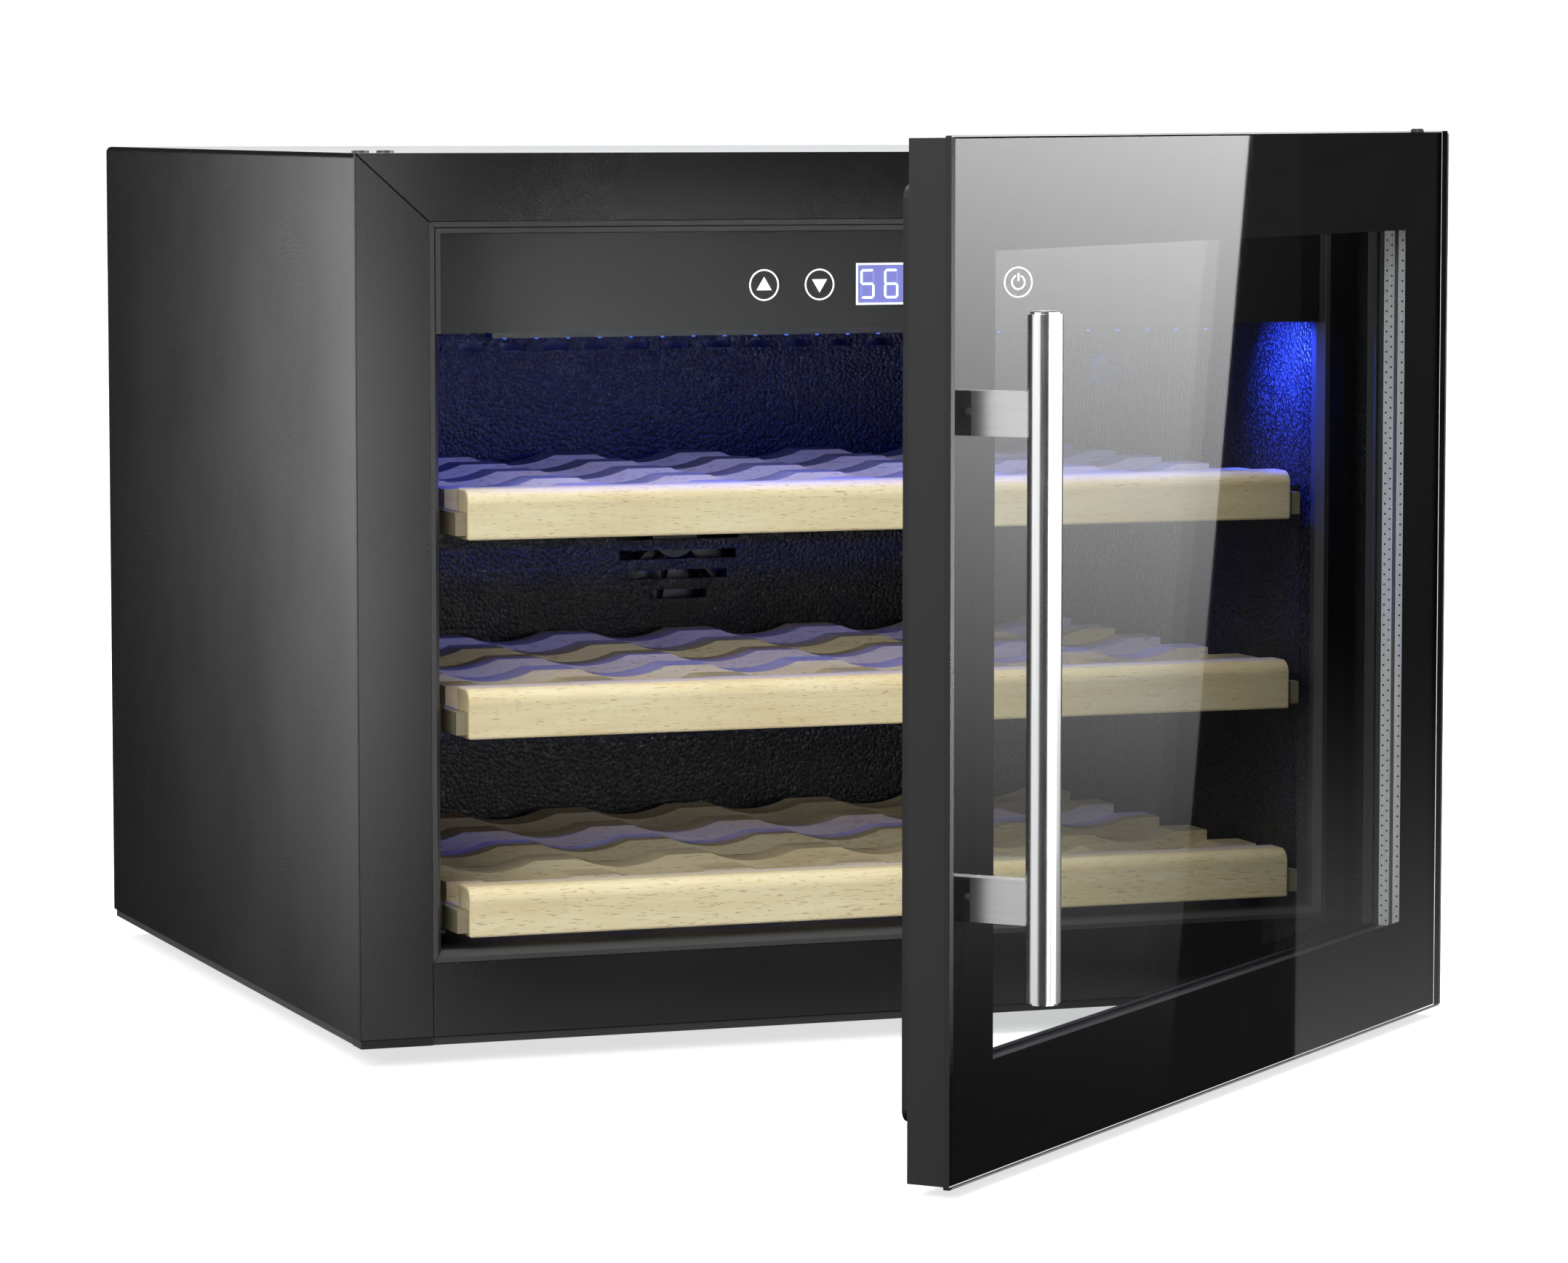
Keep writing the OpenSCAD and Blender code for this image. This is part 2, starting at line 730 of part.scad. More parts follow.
// Tube in the plane of the coil: out of the compressor's shell at height z, up and round to z1
module riser(dir, z, z1) {
    x = comp_at[0] + dir * (comp_r + 4);
    r = bend_r;
    difference() {
        rod_x(coil_y, z, pipe_r, min(x, comp_at[0] + dir * 20), max(x, comp_at[0] + dir * 20));
        translate([comp_at[0], comp_at[1], 0]) cylinder(r = comp_r, h = 300);
    }
    translate([x, coil_y, z + r]) rotate([90, 0, 0]) rotate(dir > 0 ? -90 : 180) bend(r);
    translate([x + dir * r, coil_y, z + r]) cylinder(r = pipe_r, h = z1 - z - 2 * r);
}

// Quarter bend of a tube, from the local X axis to the local Y axis
module bend(r) {
    rotate_extrude(angle = 90) translate([r, 0]) circle(pipe_r);
}

// Discharge line to the coil, suction line from the bulkhead, and the filter drier at the coil's foot
module refrigerant_pipes() {
    x_out = comp_at[0] + comp_r + 4 + bend_r;
    x_in = comp_at[0] - comp_r - 4 - bend_r;
    z_out = coil_z0 + (coil_rows - 1) * coil_pitch;
    z_in = 314;
    coil_x0 = cond_at[0] - coil_half;
    wall_y = foam_back + bulkhead_t;
    color([0.72, 0.42, 0.25]) {
        riser(1, 125, z_out);
        translate([x_out + bend_r, coil_y, z_out - bend_r]) rotate([90, 0, 0]) rotate(90) bend(bend_r);
        rod_x(coil_y, z_out, pipe_r, x_out + bend_r, coil_x0);
        riser(-1, 125, z_in);
        translate([x_in, coil_y - bend_r, z_in - bend_r]) rotate([90, 0, 90]) bend(bend_r);
        rod_y(x_in, z_in, pipe_r, wall_y, coil_y - bend_r);
        rod_x(coil_y, coil_z0, pipe_r, coil_x0 - 30, coil_x0);
        rod_x(coil_y, coil_z0, 3 * pipe_r, coil_x0 - 90, coil_x0 - 30);
        rod_x(coil_y, coil_z0, pipe_r / 2, coil_x0 - 98, coil_x0 - 90);
        rod_y(coil_x0 - 98, coil_z0, pipe_r * 2 / 3, wall_y, coil_y + pipe_r / 2);
    }
}

module power_inlet() {
    color([0.05, 0.05, 0.05]) difference() {
        union() {
            span([inlet[0] - 14, back_y - 18, inlet[1] - 10], [inlet[0] + 14, back_y + skin_t, inlet[1] + 10]);
            span([inlet[0] - 24, back_y + skin_t, inlet[1] - 13], [inlet[0] + 24, back_y + skin_t + 2.5, inlet[1] + 13]);
        }
        span([inlet[0] - 12, back_y - 14, inlet[1] - 8], [inlet[0] + 12, back_y + 6, inlet[1] + 8]);
    }
    color([0.75, 0.7, 0.5]) for (p = [[-7, -2], [0, 2], [7, -2]])
        span([inlet[0] + p[0] - 1, back_y - 15, inlet[1] + p[1] - 2], [inlet[0] + p[0] + 1, back_y - 1, inlet[1] + p[1] + 2]);
}

// ---------- hinges and fasteners ----------

module tongue(z0) {
    translate([hinge_x, hinge_y, z0]) cylinder(r = tongue_r, h = bracket_t);
    span([hinge_x - tongue_r, hinge_y, z0], [hinge_x + tongue_r, 12, z0 + bracket_t]);
}

module hinge_bracket_top() {
    color([0.12, 0.12, 0.12]) {
        difference() {
            union() {
                tongue(case_top);
                span([screw_x2 - 7, 8, case_top], [hw - 0.5, 30, case_top + bracket_t]);
            }
            for (x = [screw_x1, screw_x2]) translate([x, screw_y, case_top - 1]) cylinder(r = 2, h = 6);
        }
        translate([hinge_x, hinge_y, notch_z1 - bush_len + 2]) cylinder(r = pin_r, h = case_top - notch_z1 + bush_len - 2);
    }
}

module hinge_bracket_bottom() {
    color([0.12, 0.12, 0.12]) {
        difference() {
            union() {
                tongue(bracket_z0);
                span([screw_x2 - 7, 8, bracket_z0], [hw - 0.5, 40, bracket_z0 + bracket_t]);
            }
            for (x = [screw_x1, screw_x2]) translate([x, screw_y + 10, bracket_z0 - 1]) cylinder(r = 2, h = 6);
        }
        translate([hinge_x, hinge_y, bracket_z0 + bracket_t])
            cylinder(r = pin_r, h = notch_z0 + bush_len - 2 - bracket_z0 - bracket_t);
    }
}

module screw(head_r, head_h, len) {
    cylinder(r = head_r, h = head_h);
    translate([0, 0, -len]) cylinder(r = 2, h = len);
}

module screws_and_plugs() {
    color([0.10, 0.10, 0.10]) {
        for (x = [screw_x1, screw_x2]) {
            translate([x, screw_y, case_top + bracket_t]) screw(4.3, 2.2, 8);
            translate([x, screw_y + 10, bracket_z0]) mirror([0, 0, 1]) screw(4.3, 2.2, 4.5);
            translate([-x, screw_y, case_top]) screw(4.3, 1.2, 1);
        }
        for (x = [-260, 260], z = [30, 430]) {
            rod_y(x, z, 4, back_y + skin_t, back_y + skin_t + 2.2);
            rod_y(x, z, 2, back_y - 8, back_y + skin_t);
        }
    }
}

// ---------- levelling feet ----------

module foot(side, at) {
    color([0.08, 0.08, 0.08]) translate([side * at[0], at[1], 0]) {
        difference() {
            cylinder(r = 17, h = 5);
            for (a = [0:30:330]) rotate(a) translate([18, 0, -1]) cylinder(r = 2, h = 7, $fn = 16);
        }
        translate([0, 0, 5]) cylinder(r = 8, h = 5, $fn = 6);
        translate([0, 0, 10]) cylinder(r = stud_r, h = 15);
    }
}

module foot_front_left() { foot(-1, foot_front); }
module foot_front_right() { foot(1, foot_front); }
module foot_rear_left() { foot(-1, foot_rear); }
module foot_rear_right() { foot(1, foot_rear); }

// ---------- door ----------

// Through holes and heads of the screws that hold the handle posts
module handle_holes(r, y0, y1) {
    for (s = [-1, 1]) rod_y(bar_x, bar_mid + s * post_gap, r, y0, y1);
}

// The glass's front edges are ground to a small bevel
module door_glass_front() {
    arris = 1.2;
    at_door() color([0.10, 0.11, 0.12, 0.35]) difference() {
        hull() {
            span([-dw, glass_front + arris, door_z], [dw, glass_back, door_top]);
            span([-dw + arris, glass_front, door_z + arris], [dw - arris, glass_back, door_top - arris]);
        }
        handle_holes(handle_screw_r, glass_front - 1, glass_back + 1);
    }
}

module door_print_border() {
    at_door() color([0.02, 0.02, 0.02]) difference() {
        xz(glass_back, frame_front) ring(dw - 0.5, [door_z + 0.5, door_top - 0.5],
                                         dw - border_w, [door_z + border_w, door_top - border_w]);
        handle_holes(handle_screw_r, glass_back - 1, frame_front + 1);
    }
}

spacer_1 = 7.3;
pane_mid = 2;
spacer_2 = 5.6;
pane_rear = door_frame_d - spacer_1 - pane_mid - spacer_2;

module door_inner_panes() {
    at_door() color([0.75, 0.80, 0.85, 0.35]) {
        y1 = frame_front + spacer_1;
        xz(y1, y1 + pane_mid) rect([-pane_x, pane_z0], [pane_x, pane_z1]);
        xz(frame_back - pane_rear, frame_back) rect([-pane_x, pane_z0], [pane_x, pane_z1]);
    }
}

module spacer_ring() {
    ring(pane_x, [pane_z0, pane_z1], pane_x - spacer_w, [pane_z0 + spacer_w, pane_z1 - spacer_w]);
}

module glass_spacers() {
    at_door() color([0.60, 0.61, 0.63]) {
        xz(frame_front, frame_front + spacer_1) spacer_ring();
        xz(frame_back - pane_rear - spacer_2, frame_back - pane_rear) spacer_ring();
    }
}

gasket_x = hw + 1;
gasket_z = [30, 439];
gasket_w = 20;
rib_w = 4;
rib_d = 5;

module gasket_ring(in, w) {
    difference() {
        round_rect([-gasket_x + in, gasket_z[0] + in], [gasket_x - in, gasket_z[1] - in], 6);
        rect([-gasket_x + in + w, gasket_z[0] + in + w], [gasket_x - in - w, gasket_z[1] - in - w]);
    }
}

module door_frame() {
    at_door() color([0.17, 0.17, 0.18]) difference() {
        xz(frame_front, frame_back) ring(dw - frame_in, [door_z + frame_in, door_top - frame_in],
                                         pane_x, [pane_z0, pane_z1]);
        xz(frame_back - rib_d, frame_back + 1) gasket_ring((gasket_w - rib_w) / 2, rib_w);
        span([dw - notch_w, frame_front - 1, notch_z1], [dw + 1, frame_back + 1, door_top + 1]);
        span([dw - notch_w, frame_front - 1, 0], [dw + 1, frame_back + 1, notch_z0]);
        translate([hinge_x, hinge_y, notch_z1 - bush_len]) cylinder(r = bush_r, h = bush_len + 1);
        translate([hinge_x, hinge_y, notch_z0 - 1]) cylinder(r = bush_r, h = bush_len + 1);
        handle_holes(handle_screw_r, frame_front - 1, frame_back + 1);
        handle_holes(head_r, frame_back - head_h, frame_back + 1);
    }
}

// Push-in gasket: a root in the frame's groove, a flange, a neck and the sealing tube
module door_gasket() {
    flange = 2.5;
    neck = 2;
    at_door() color([0.13, 0.13, 0.14]) difference() {
        union() {
            xz(frame_back - rib_d, frame_back) gasket_ring((gasket_w - rib_w) / 2, rib_w);
            xz(frame_back, frame_back + flange) gasket_ring(0, gasket_w);
            xz(frame_back + flange, frame_back + flange + neck) gasket_ring(3, gasket_w - 6);
            xz(frame_back + flange + neck, frame_back + gasket_d) gasket_ring(0, gasket_w);
        }
        handle_holes(head_r, frame_back - rib_d - 1, frame_back);
    }
}

module bar_body(r, in) {
    translate([bar_x, bar_y, bar_z + in]) cylinder(r = r, h = bar_len - 2 * in, $fn = 96);
}

module handle_bar() {
    chamfer = 1;
    at_door() color([0.80, 0.81, 0.82]) {
        bar_body(bar_r, chamfer);
        bar_body(bar_r - chamfer, 0);
    }
}

// Rectangular posts, saddled to the bar, with the screws that hold them
module handle_posts() {
    at_door() color([0.70, 0.71, 0.72]) {
        difference() {
            for (s = [-1, 1]) span([bar_x - post_w / 2, bar_y, bar_mid + s * post_gap - post_h / 2],
                                   [bar_x + post_w / 2, glass_front, bar_mid + s * post_gap + post_h / 2]);
            bar_body(bar_r, -5);
        }
        handle_holes(handle_screw_r, glass_front, frame_back - head_h);
        handle_holes(head_r, frame_back - head_h, frame_back);
    }
}

// Flanged bushes in the door frame run on the bracket pins
module hinge_bushes() {
    flange = 1;
    at_door() color([0.85, 0.85, 0.82]) translate([hinge_x, hinge_y, 0]) difference() {
        union() {
            translate([0, 0, notch_z1 - bush_len]) cylinder(r = bush_r, h = bush_len);
            translate([0, 0, notch_z1]) cylinder(r = bush_r + 1.5, h = flange);
            translate([0, 0, notch_z0]) cylinder(r = bush_r, h = bush_len);
            translate([0, 0, notch_z0 - flange]) cylinder(r = bush_r + 1.5, h = flange);
        }
        translate([0, 0, notch_z1 - bush_len + 1]) cylinder(r = pin_r + fit, h = bush_len + 5);
        translate([0, 0, 0]) cylinder(r = pin_r + fit, h = notch_z0 + bush_len - 1);
    }
}

side_panel_left();
side_panel_right();
top_panel();
back_panel();
base_tray();
insulation_foam();
inner_liner();
front_stile_left();
front_stile_right();
front_top_rail();
kick_rail();
opening_trim();
stile_foot_caps();
control_fascia();
control_housing();
control_board();
display_bezel();
display_window();
display_digits();
touch_icons();
led_strip();
evaporator_cover();
evaporator_plate();
circulation_fan_frame();
circulation_fan_rotor();
temperature_probe();
shelf_runners();
shelf_top_front();
shelf_top_deck();
shelf_middle_front();
shelf_middle_deck();
shelf_bottom_front();
shelf_bottom_deck();
shelf_top_rails();
shelf_middle_rails();
shelf_bottom_rails();
machine_bulkhead();
compressor();
compressor_mounts();
condenser_coil();
condenser_fan_shroud();
condenser_fan_rotor();
refrigerant_pipes();
power_inlet();
hinge_bracket_top();
hinge_bracket_bottom();
screws_and_plugs();
foot_front_left();
foot_front_right();
foot_rear_left();
foot_rear_right();
door_glass_front();
door_print_border();
door_inner_panes();
glass_spacers();
door_frame();
door_gasket();
handle_bar();
handle_posts();
hinge_bushes();
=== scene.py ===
"""Wine cooler: its finishes, its fine pieces and the studio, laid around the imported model."""

import json
import math

import bmesh
import bpy
from bpy.props import FloatProperty, FloatVectorProperty, PointerProperty
from mathutils import Matrix, Vector


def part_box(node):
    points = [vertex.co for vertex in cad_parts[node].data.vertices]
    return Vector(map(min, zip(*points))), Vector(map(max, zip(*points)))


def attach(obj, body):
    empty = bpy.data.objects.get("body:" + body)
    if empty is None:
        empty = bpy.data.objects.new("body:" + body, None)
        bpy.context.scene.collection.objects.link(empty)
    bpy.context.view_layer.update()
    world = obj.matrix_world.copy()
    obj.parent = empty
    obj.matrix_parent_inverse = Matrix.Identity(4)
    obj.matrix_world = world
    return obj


bl_info = {
    "name": "Wine Cooler",
    "version": (1, 0, 0),
    "blender": (4, 5, 0),
    "location": "3D View > Sidebar > Cooler",
    "description": "Finishes, small parts and studio for a built-in wine cooler",
    "category": "Object",
}

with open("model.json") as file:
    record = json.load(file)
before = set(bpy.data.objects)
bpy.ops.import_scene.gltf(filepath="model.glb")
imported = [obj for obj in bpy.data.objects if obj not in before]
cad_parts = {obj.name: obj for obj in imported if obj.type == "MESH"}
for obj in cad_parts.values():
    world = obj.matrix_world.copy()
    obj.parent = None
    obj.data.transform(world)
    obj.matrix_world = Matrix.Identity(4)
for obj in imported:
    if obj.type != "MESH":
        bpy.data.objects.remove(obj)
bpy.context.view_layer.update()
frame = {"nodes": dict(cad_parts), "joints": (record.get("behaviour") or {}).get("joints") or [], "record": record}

MM = 0.001
SPACER_WALL = 8 * MM
PANE = 2 * MM
GASKET_WIDTH = 20 * MM
HINGE = next(j for j in frame["joints"] if j["name"] == "door_hinge")
OPEN_TURN = math.radians(-HINGE["range_deg"][0])
HINGE_PLACE = Vector(HINGE["pos_m"])


# ---------------------------------------------------------------- sizes and colours


def length(name, description, default):
    return FloatProperty(
        name=name, description=description, default=default, min=0.0, precision=5, unit="LENGTH"
    )


def colour(name, description, default):
    return FloatVectorProperty(
        name=name, description=description, default=default, size=3, min=0.0, max=1.0, subtype="COLOR"
    )


def amount(name, description, default, **limits):
    return FloatProperty(name=name, description=description, default=default, precision=4, **limits)


class CoolerSizes(bpy.types.PropertyGroup):
    """Sizes of the fine pieces."""

    edge_round: length("Edge rounding", "Rounding on the edges of the frame's rails", 0.0004)
    wood_round: length("Wood rounding", "Rounding on the sanded edges of the shelves", 0.0012)
    dot_radius: length("Dot radius", "Radius of the spacer's breathing holes", 0.00055)
    dot_pitch: length("Dot pitch", "Distance between breathing holes", 0.0052)
    lip_radius: length("Lip radius", "Radius of the gasket's lips", 0.0011)
    bevel_strip: length("Ground edge", "Width of the ground edge round the front glass", 0.0012)
    edge_band: length("Edge band", "Thickness of the dark coating on the glass sides", 0.00012)
    sealant: length("Sealant", "Thickness of the sealant over the upper and lower spacers", 0.0002)
    mitre: length("Mitre line", "Width of the mitre lines at the trim's corners", 0.0003)
    cap_radius: length("Hinge cap", "Radius of the domed caps on the door's top", 0.0021)
    lamp_radius: length("Lamp radius", "Radius of each lamp in the light strip", 0.0013)
    lamp_pitch: length("Lamp pitch", "Distance between lamps in the light strip", 0.0166)
    figure_pitch: length("Figure pitch", "Distance between the display's two figures", 0.0128)
    figure_line: length("Figure line", "Width of the figures' lines", 0.0011)
    guard_wire: length("Guard wire", "Radius of the fan guard's wire", 0.0009)
    guard_pitch: length("Guard pitch", "Distance between the fan guard's rings", 0.0085)
    fin_pitch: length("Fin pitch", "Distance between the condenser's thin fins", 0.002)
    fin_thickness: length("Fin thickness", "Thickness of the condenser's thin fins", 0.00025)
    plug_radius: length("End plug", "Radius of the plug in each end of the handle", 0.0064)


class CoolerColours(bpy.types.PropertyGroup):
    """Colours of the main finishes."""

    case: colour("Case", "Coated steel of the sides", (0.007, 0.007, 0.0073))
    top: colour("Top", "Silver coated steel of the top", (0.52, 0.53, 0.54))
    front: colour("Front frame", "Matt coating of the front frame", (0.0065, 0.0065, 0.0068))
    trim: colour("Trim", "Satin trim round the opening", (0.040, 0.040, 0.041))
    fascia: colour("Fascia", "Control panel", (0.011, 0.011, 0.0114))
    liner: colour("Liner", "Embossed inner liner", (0.012, 0.012, 0.014))
    wood: colour("Wood", "Light colour of the beech", (0.80, 0.72, 0.47))
    wood_grain: colour("Wood grain", "Darker grain of the beech", (0.69, 0.56, 0.31))
    wood_fleck: colour("Wood fleck", "Short dark flecks of the beech", (0.40, 0.25, 0.11))
    figures: colour("Figures", "Lit figures of the display", (0.62, 0.93, 1.0))
    window: colour("Display window", "Window behind the figures", (0.16, 0.17, 0.50))
    glow: colour("Glow", "Light of the strip above the top shelf", (0.03, 0.07, 1.0))
    door_print: colour("Door print", "Border printed behind the glass", (0.0015, 0.0015, 0.0017))
    profile: colour("Door frame", "Frame behind the glass", (0.008, 0.008, 0.0083))


class CoolerStudio(bpy.types.PropertyGroup):
    """Where the camera stands and how bright the studio is."""

    eye: FloatVectorProperty(
        name="Camera place",
        description="Where the camera stands",
        default=(-1.0596, -2.7248, 0.4716),
        subtype="XYZ",
    )
    heading: amount("Heading", "Turn of the camera to the right", math.radians(20.178), unit="ROTATION")
    dip: amount("Dip", "How far the camera looks down", math.radians(5.14), unit="ROTATION")
    lens: amount("Lens", "Focal length for a 36 mm sensor", 133.45)
    key: amount("Key light", "Power of the large front light", 95.0)
    over: amount("Top light", "Power of the overhead light", 115.0)
    tall_panel: amount("Tall panel", "Brightness of the panel that the door mirrors", 9.5)
    low_panel: amount("Low panel", "Brightness of the panel low on the right", 0.9)
    front_panel: amount("Front panel", "Brightness of the panel that the front frame mirrors", 8.5)
    handle_panel: amount("Handle panel", "Brightness of the panel on the handle's right", 1.6)
    left_panel: amount("Left panel", "Brightness of the panel that the handle mirrors", 1.2)
    side_panel: amount("Side panel", "Brightness of the panel that the left side mirrors", 4.4)
    room: amount("Room", "Even light from all around", 0.42)
    room_gloss: amount("Room gloss", "How much of the room shows in glossy surfaces", 0.02)
    floor_glow: amount("Floor paleness", "Light that the floor adds of its own", 0.7)
    glow_power: amount("Glow power", "Power of the blue light in the cabinet", 0.55)
    wall_glow: amount("Wall glow", "Power of the blue light on each side wall", 0.45)


def sizes():
    return bpy.context.scene.cooler_sizes


def colours():
    return bpy.context.scene.cooler_colours


def studio():
    return bpy.context.scene.cooler_studio


# ---------------------------------------------------------------- finishes


class Signal:
    """A number or a colour on its way through a finish, written with ordinary arithmetic."""

    def __init__(self, recipe, socket):
        self.recipe = recipe
        self.socket = socket

    def work(self, operation, first, second=None):
        return self.recipe.add("ShaderNodeMath", {"operation": operation}, {0: first, 1: second})

    def __add__(self, other):
        return self.work("ADD", self, other)

    def __radd__(self, other):
        return self.work("ADD", other, self)

    def __sub__(self, other):
        return self.work("SUBTRACT", self, other)

    def __rsub__(self, other):
        return self.work("SUBTRACT", other, self)

    def __mul__(self, other):
        return self.work("MULTIPLY", self, other)

    def __rmul__(self, other):
        return self.work("MULTIPLY", other, self)

    def __pow__(self, other):
        return self.work("POWER", self, other)


class Recipe:
    """One finish, built node by node on a principled shader."""

    def __init__(self, name, owner=None):
        self.material = owner or bpy.data.materials.new(name)
        self.material.use_nodes = True
        self.tree = self.material.node_tree
        self.spot = None

    def add(self, kind, settings=None, sockets=None, output=0):
        node = self.tree.nodes.new(kind)
        for key, value in (settings or {}).items():
            if key == "stops":
                self.set_stops(node.color_ramp, value)
            else:
                setattr(node, key, value)
        for key, value in (sockets or {}).items():
            self.feed(node.inputs[key], value)
        return Signal(self, node.outputs[output])

    def feed(self, socket, value):
        if isinstance(value, Signal):
            self.tree.links.new(value.socket, socket)
        elif value is not None:
            socket.default_value = value

    def set_stops(self, ramp, stops):
        while len(ramp.elements) < len(stops):
            ramp.elements.new(0.5)
        for element, (place, shade) in zip(ramp.elements, stops):
            element.position = place
            element.color = rgba(shade)

    def where(self):
        if self.spot is None:
            self.spot = self.add("ShaderNodeTexCoord", output="Object")
        return self.spot

    def along(self, axis):
        return self.add("ShaderNodeSeparateXYZ", sockets={0: self.where()}, output=axis)

    def stretched(self, stretch, shift=(0, 0, 0)):
        factors = {0: self.where(), 1: stretch}
        scaled = self.add("ShaderNodeVectorMath", {"operation": "MULTIPLY"}, factors)
        return self.add("ShaderNodeVectorMath", {"operation": "ADD"}, {0: scaled, 1: shift})

    def noise(self, scale, detail=2.0, stretch=(1, 1, 1), shift=(0, 0, 0), rough=0.5):
        return self.add(
            "ShaderNodeTexNoise",
            sockets={
                "Vector": self.stretched(stretch, shift),
                "Scale": scale,
                "Detail": detail,
                "Roughness": rough,
            },
        )

    def cells(self, scale, feature="F1", output="Distance", stretch=(1, 1, 1)):
        return self.add(
            "ShaderNodeTexVoronoi",
            {"feature": feature},
            {"Vector": self.stretched(stretch), "Scale": scale},
            output=output,
        )

    def ramp(self, signal, *stops):
        return self.add("ShaderNodeValToRGB", {"stops": stops}, {0: signal})

    def blend(self, share, first, second):
        return self.add(
            "ShaderNodeMix",
            {"data_type": "RGBA"},
            {0: share, 6: paint(first), 7: paint(second)},
            output=2,
        )

    def relief(self, height, depth, under=None):
        sockets = {"Height": height, "Distance": depth, "Strength": 1.0}
        if under is not None:
            sockets["Normal"] = under
        return self.add("ShaderNodeBump", sockets=sockets)

    def surface(self, **looks):
        shader = self.tree.nodes["Principled BSDF"]
        for key, value in looks.items():
            socket = shader.inputs[key.replace("_", " ")]
            self.feed(socket, paint(value) if socket.type == "RGBA" else value)
        return shader


def rgba(shade):
    return (*tuple(shade)[:3], 1.0)


def paint(shade):
    return shade if isinstance(shade, Signal) else rgba(shade)


def lighter(shade, factor):
    return tuple(min(1.0, c * factor) for c in tuple(shade)[:3])


def coated_steel(recipe, shade, rough=0.42, depth=0.00002, brushed=(1, 1, 1), metal=0.0):
    """Powder coat over sheet steel, with a fine tooth and faint brush lines."""
    tooth = recipe.noise(1500, 3.0)
    lines = recipe.noise(900, 3.0, stretch=brushed)
    cloud = recipe.noise(9, 2.0)
    tone = recipe.blend(lines * 0.7 + tooth * 0.3, lighter(shade, 0.72), lighter(shade, 1.3))
    recipe.surface(
        Base_Color=tone,
        Roughness=rough - 0.05 + cloud * 0.06 + tooth * 0.05,
        Metallic=metal,
        Normal=recipe.relief(tooth * 0.6 + lines * 0.4, depth),
    )


def moulded_plastic(recipe, shade, rough=0.4, depth=0.00002, scale=900):
    """Injection-moulded plastic with a spark-eroded texture."""
    grain = recipe.noise(scale, 2.0)
    flow = recipe.noise(25, 1.0)
    recipe.surface(
        Base_Color=recipe.blend(flow * 0.6 + grain * 0.4, lighter(shade, 0.8), lighter(shade, 1.25)),
        Roughness=rough - 0.04 + grain * 0.1,
        Normal=recipe.relief(grain, depth),
    )


def gloss_panel(recipe, shade, rough=0.16, shine=0.5):
    """Hard gloss lacquer with faint waviness and a soft film."""
    wave = recipe.noise(14, 1.0)
    film = recipe.noise(60, 1.0)
    recipe.surface(
        Base_Color=recipe.blend(wave, lighter(shade, 0.85), lighter(shade, 1.2)),
        Roughness=rough + film * 0.03,
        Specular_IOR_Level=shine,
        Normal=recipe.relief(wave, 0.00002),
    )


def embossed_liner(recipe, shade):
    """Vacuum-formed liner with a pebbled emboss, and bright flecks in its colour that are painted glints of the
    strip's light.
    """
    pebble = recipe.cells(420)
    fine = recipe.noise(1300, 2.0)
    # Painted highlight: noise peaks make the colour up to 4.5 times lighter, as glints of the strip's light
    painted_glint_mask = recipe.ramp(recipe.noise(900, 2.0), (0.53, (0, 0, 0)), (0.60, (1, 1, 1)))
    share = recipe.add("ShaderNodeSeparateColor", sockets={0: painted_glint_mask})
    recipe.surface(
        Base_Color=recipe.blend(share, lighter(shade, 0.25), lighter(shade, 4.5)),
        Roughness=0.30 + fine * 0.16,
        Normal=recipe.relief(1 - pebble, 0.00055, recipe.relief(fine, 0.00005)),
    )


def bare_metal(recipe, shade, rough=0.28, brushed=(1, 1, 1), depth=0.000012, scale=700):
    """Bare metal with drawn or brushed lines."""
    lines = recipe.noise(scale, 4.0, stretch=brushed, rough=0.65)
    cloud = recipe.noise(30, 2.0)
    recipe.surface(
        Base_Color=recipe.blend(lines, lighter(shade, 0.82), lighter(shade, 1.12)),
        Roughness=rough - 0.06 + lines * 0.1 + cloud * 0.05,
        Metallic=1.0,
        Normal=recipe.relief(lines, depth),
    )


def zinc_sheet(recipe, shade):
    """Hot-dipped sheet with spangles."""
    spangle = recipe.cells(55, output="Color")
    edge = recipe.cells(55, feature="DISTANCE_TO_EDGE")
    grey = recipe.add("ShaderNodeSeparateColor", sockets={0: spangle})
    recipe.surface(
        Base_Color=recipe.blend(grey, lighter(shade, 0.75), lighter(shade, 1.1)),
        Roughness=0.34 + grey * 0.22,
        Metallic=0.9,
        Normal=recipe.relief(edge, 0.0001),
    )


def beech(recipe, axis, shift, look, shade=1.0):
    """Planed beech: long soft grain, rays as short dark flecks, and a sanded surface."""
    run = [1.0, 1.0, 1.0]
    run[axis] = 0.09
    drift = (shift, shift * 0.7, shift * 1.3)
    rings = recipe.noise(120, 3.0, stretch=tuple(run), shift=drift)
    fine = recipe.noise(620, 4.0, stretch=tuple(run), shift=drift, rough=0.7)
    dash = [1.0, 1.0, 1.0]
    dash[axis] = 0.12
    flecks = recipe.noise(1500, 1.0, stretch=tuple(dash), shift=drift)
    fleck = recipe.ramp(flecks, (0.62, (0, 0, 0)), (0.70, (1, 1, 1)))
    patch = recipe.noise(11, 2.0, shift=drift)
    grain = recipe.ramp(rings * 0.55 + fine * 0.35 + patch * 0.25, (0.42, (0, 0, 0)), (0.72, (1, 1, 1)))
    # shade scales the whole wood colour; the rails pass 0.3, which is painted shade
    body = recipe.blend(grain, lighter(look.wood, shade), lighter(look.wood_grain, shade))
    share = recipe.add("ShaderNodeSeparateColor", sockets={0: fleck})
    recipe.surface(
        Base_Color=recipe.blend(share * 0.6, body, look.wood_fleck),
        Roughness=0.44 + fine * 0.16,
        Normal=recipe.relief(fine * 0.6 - share * 0.5, 0.00009),
    )


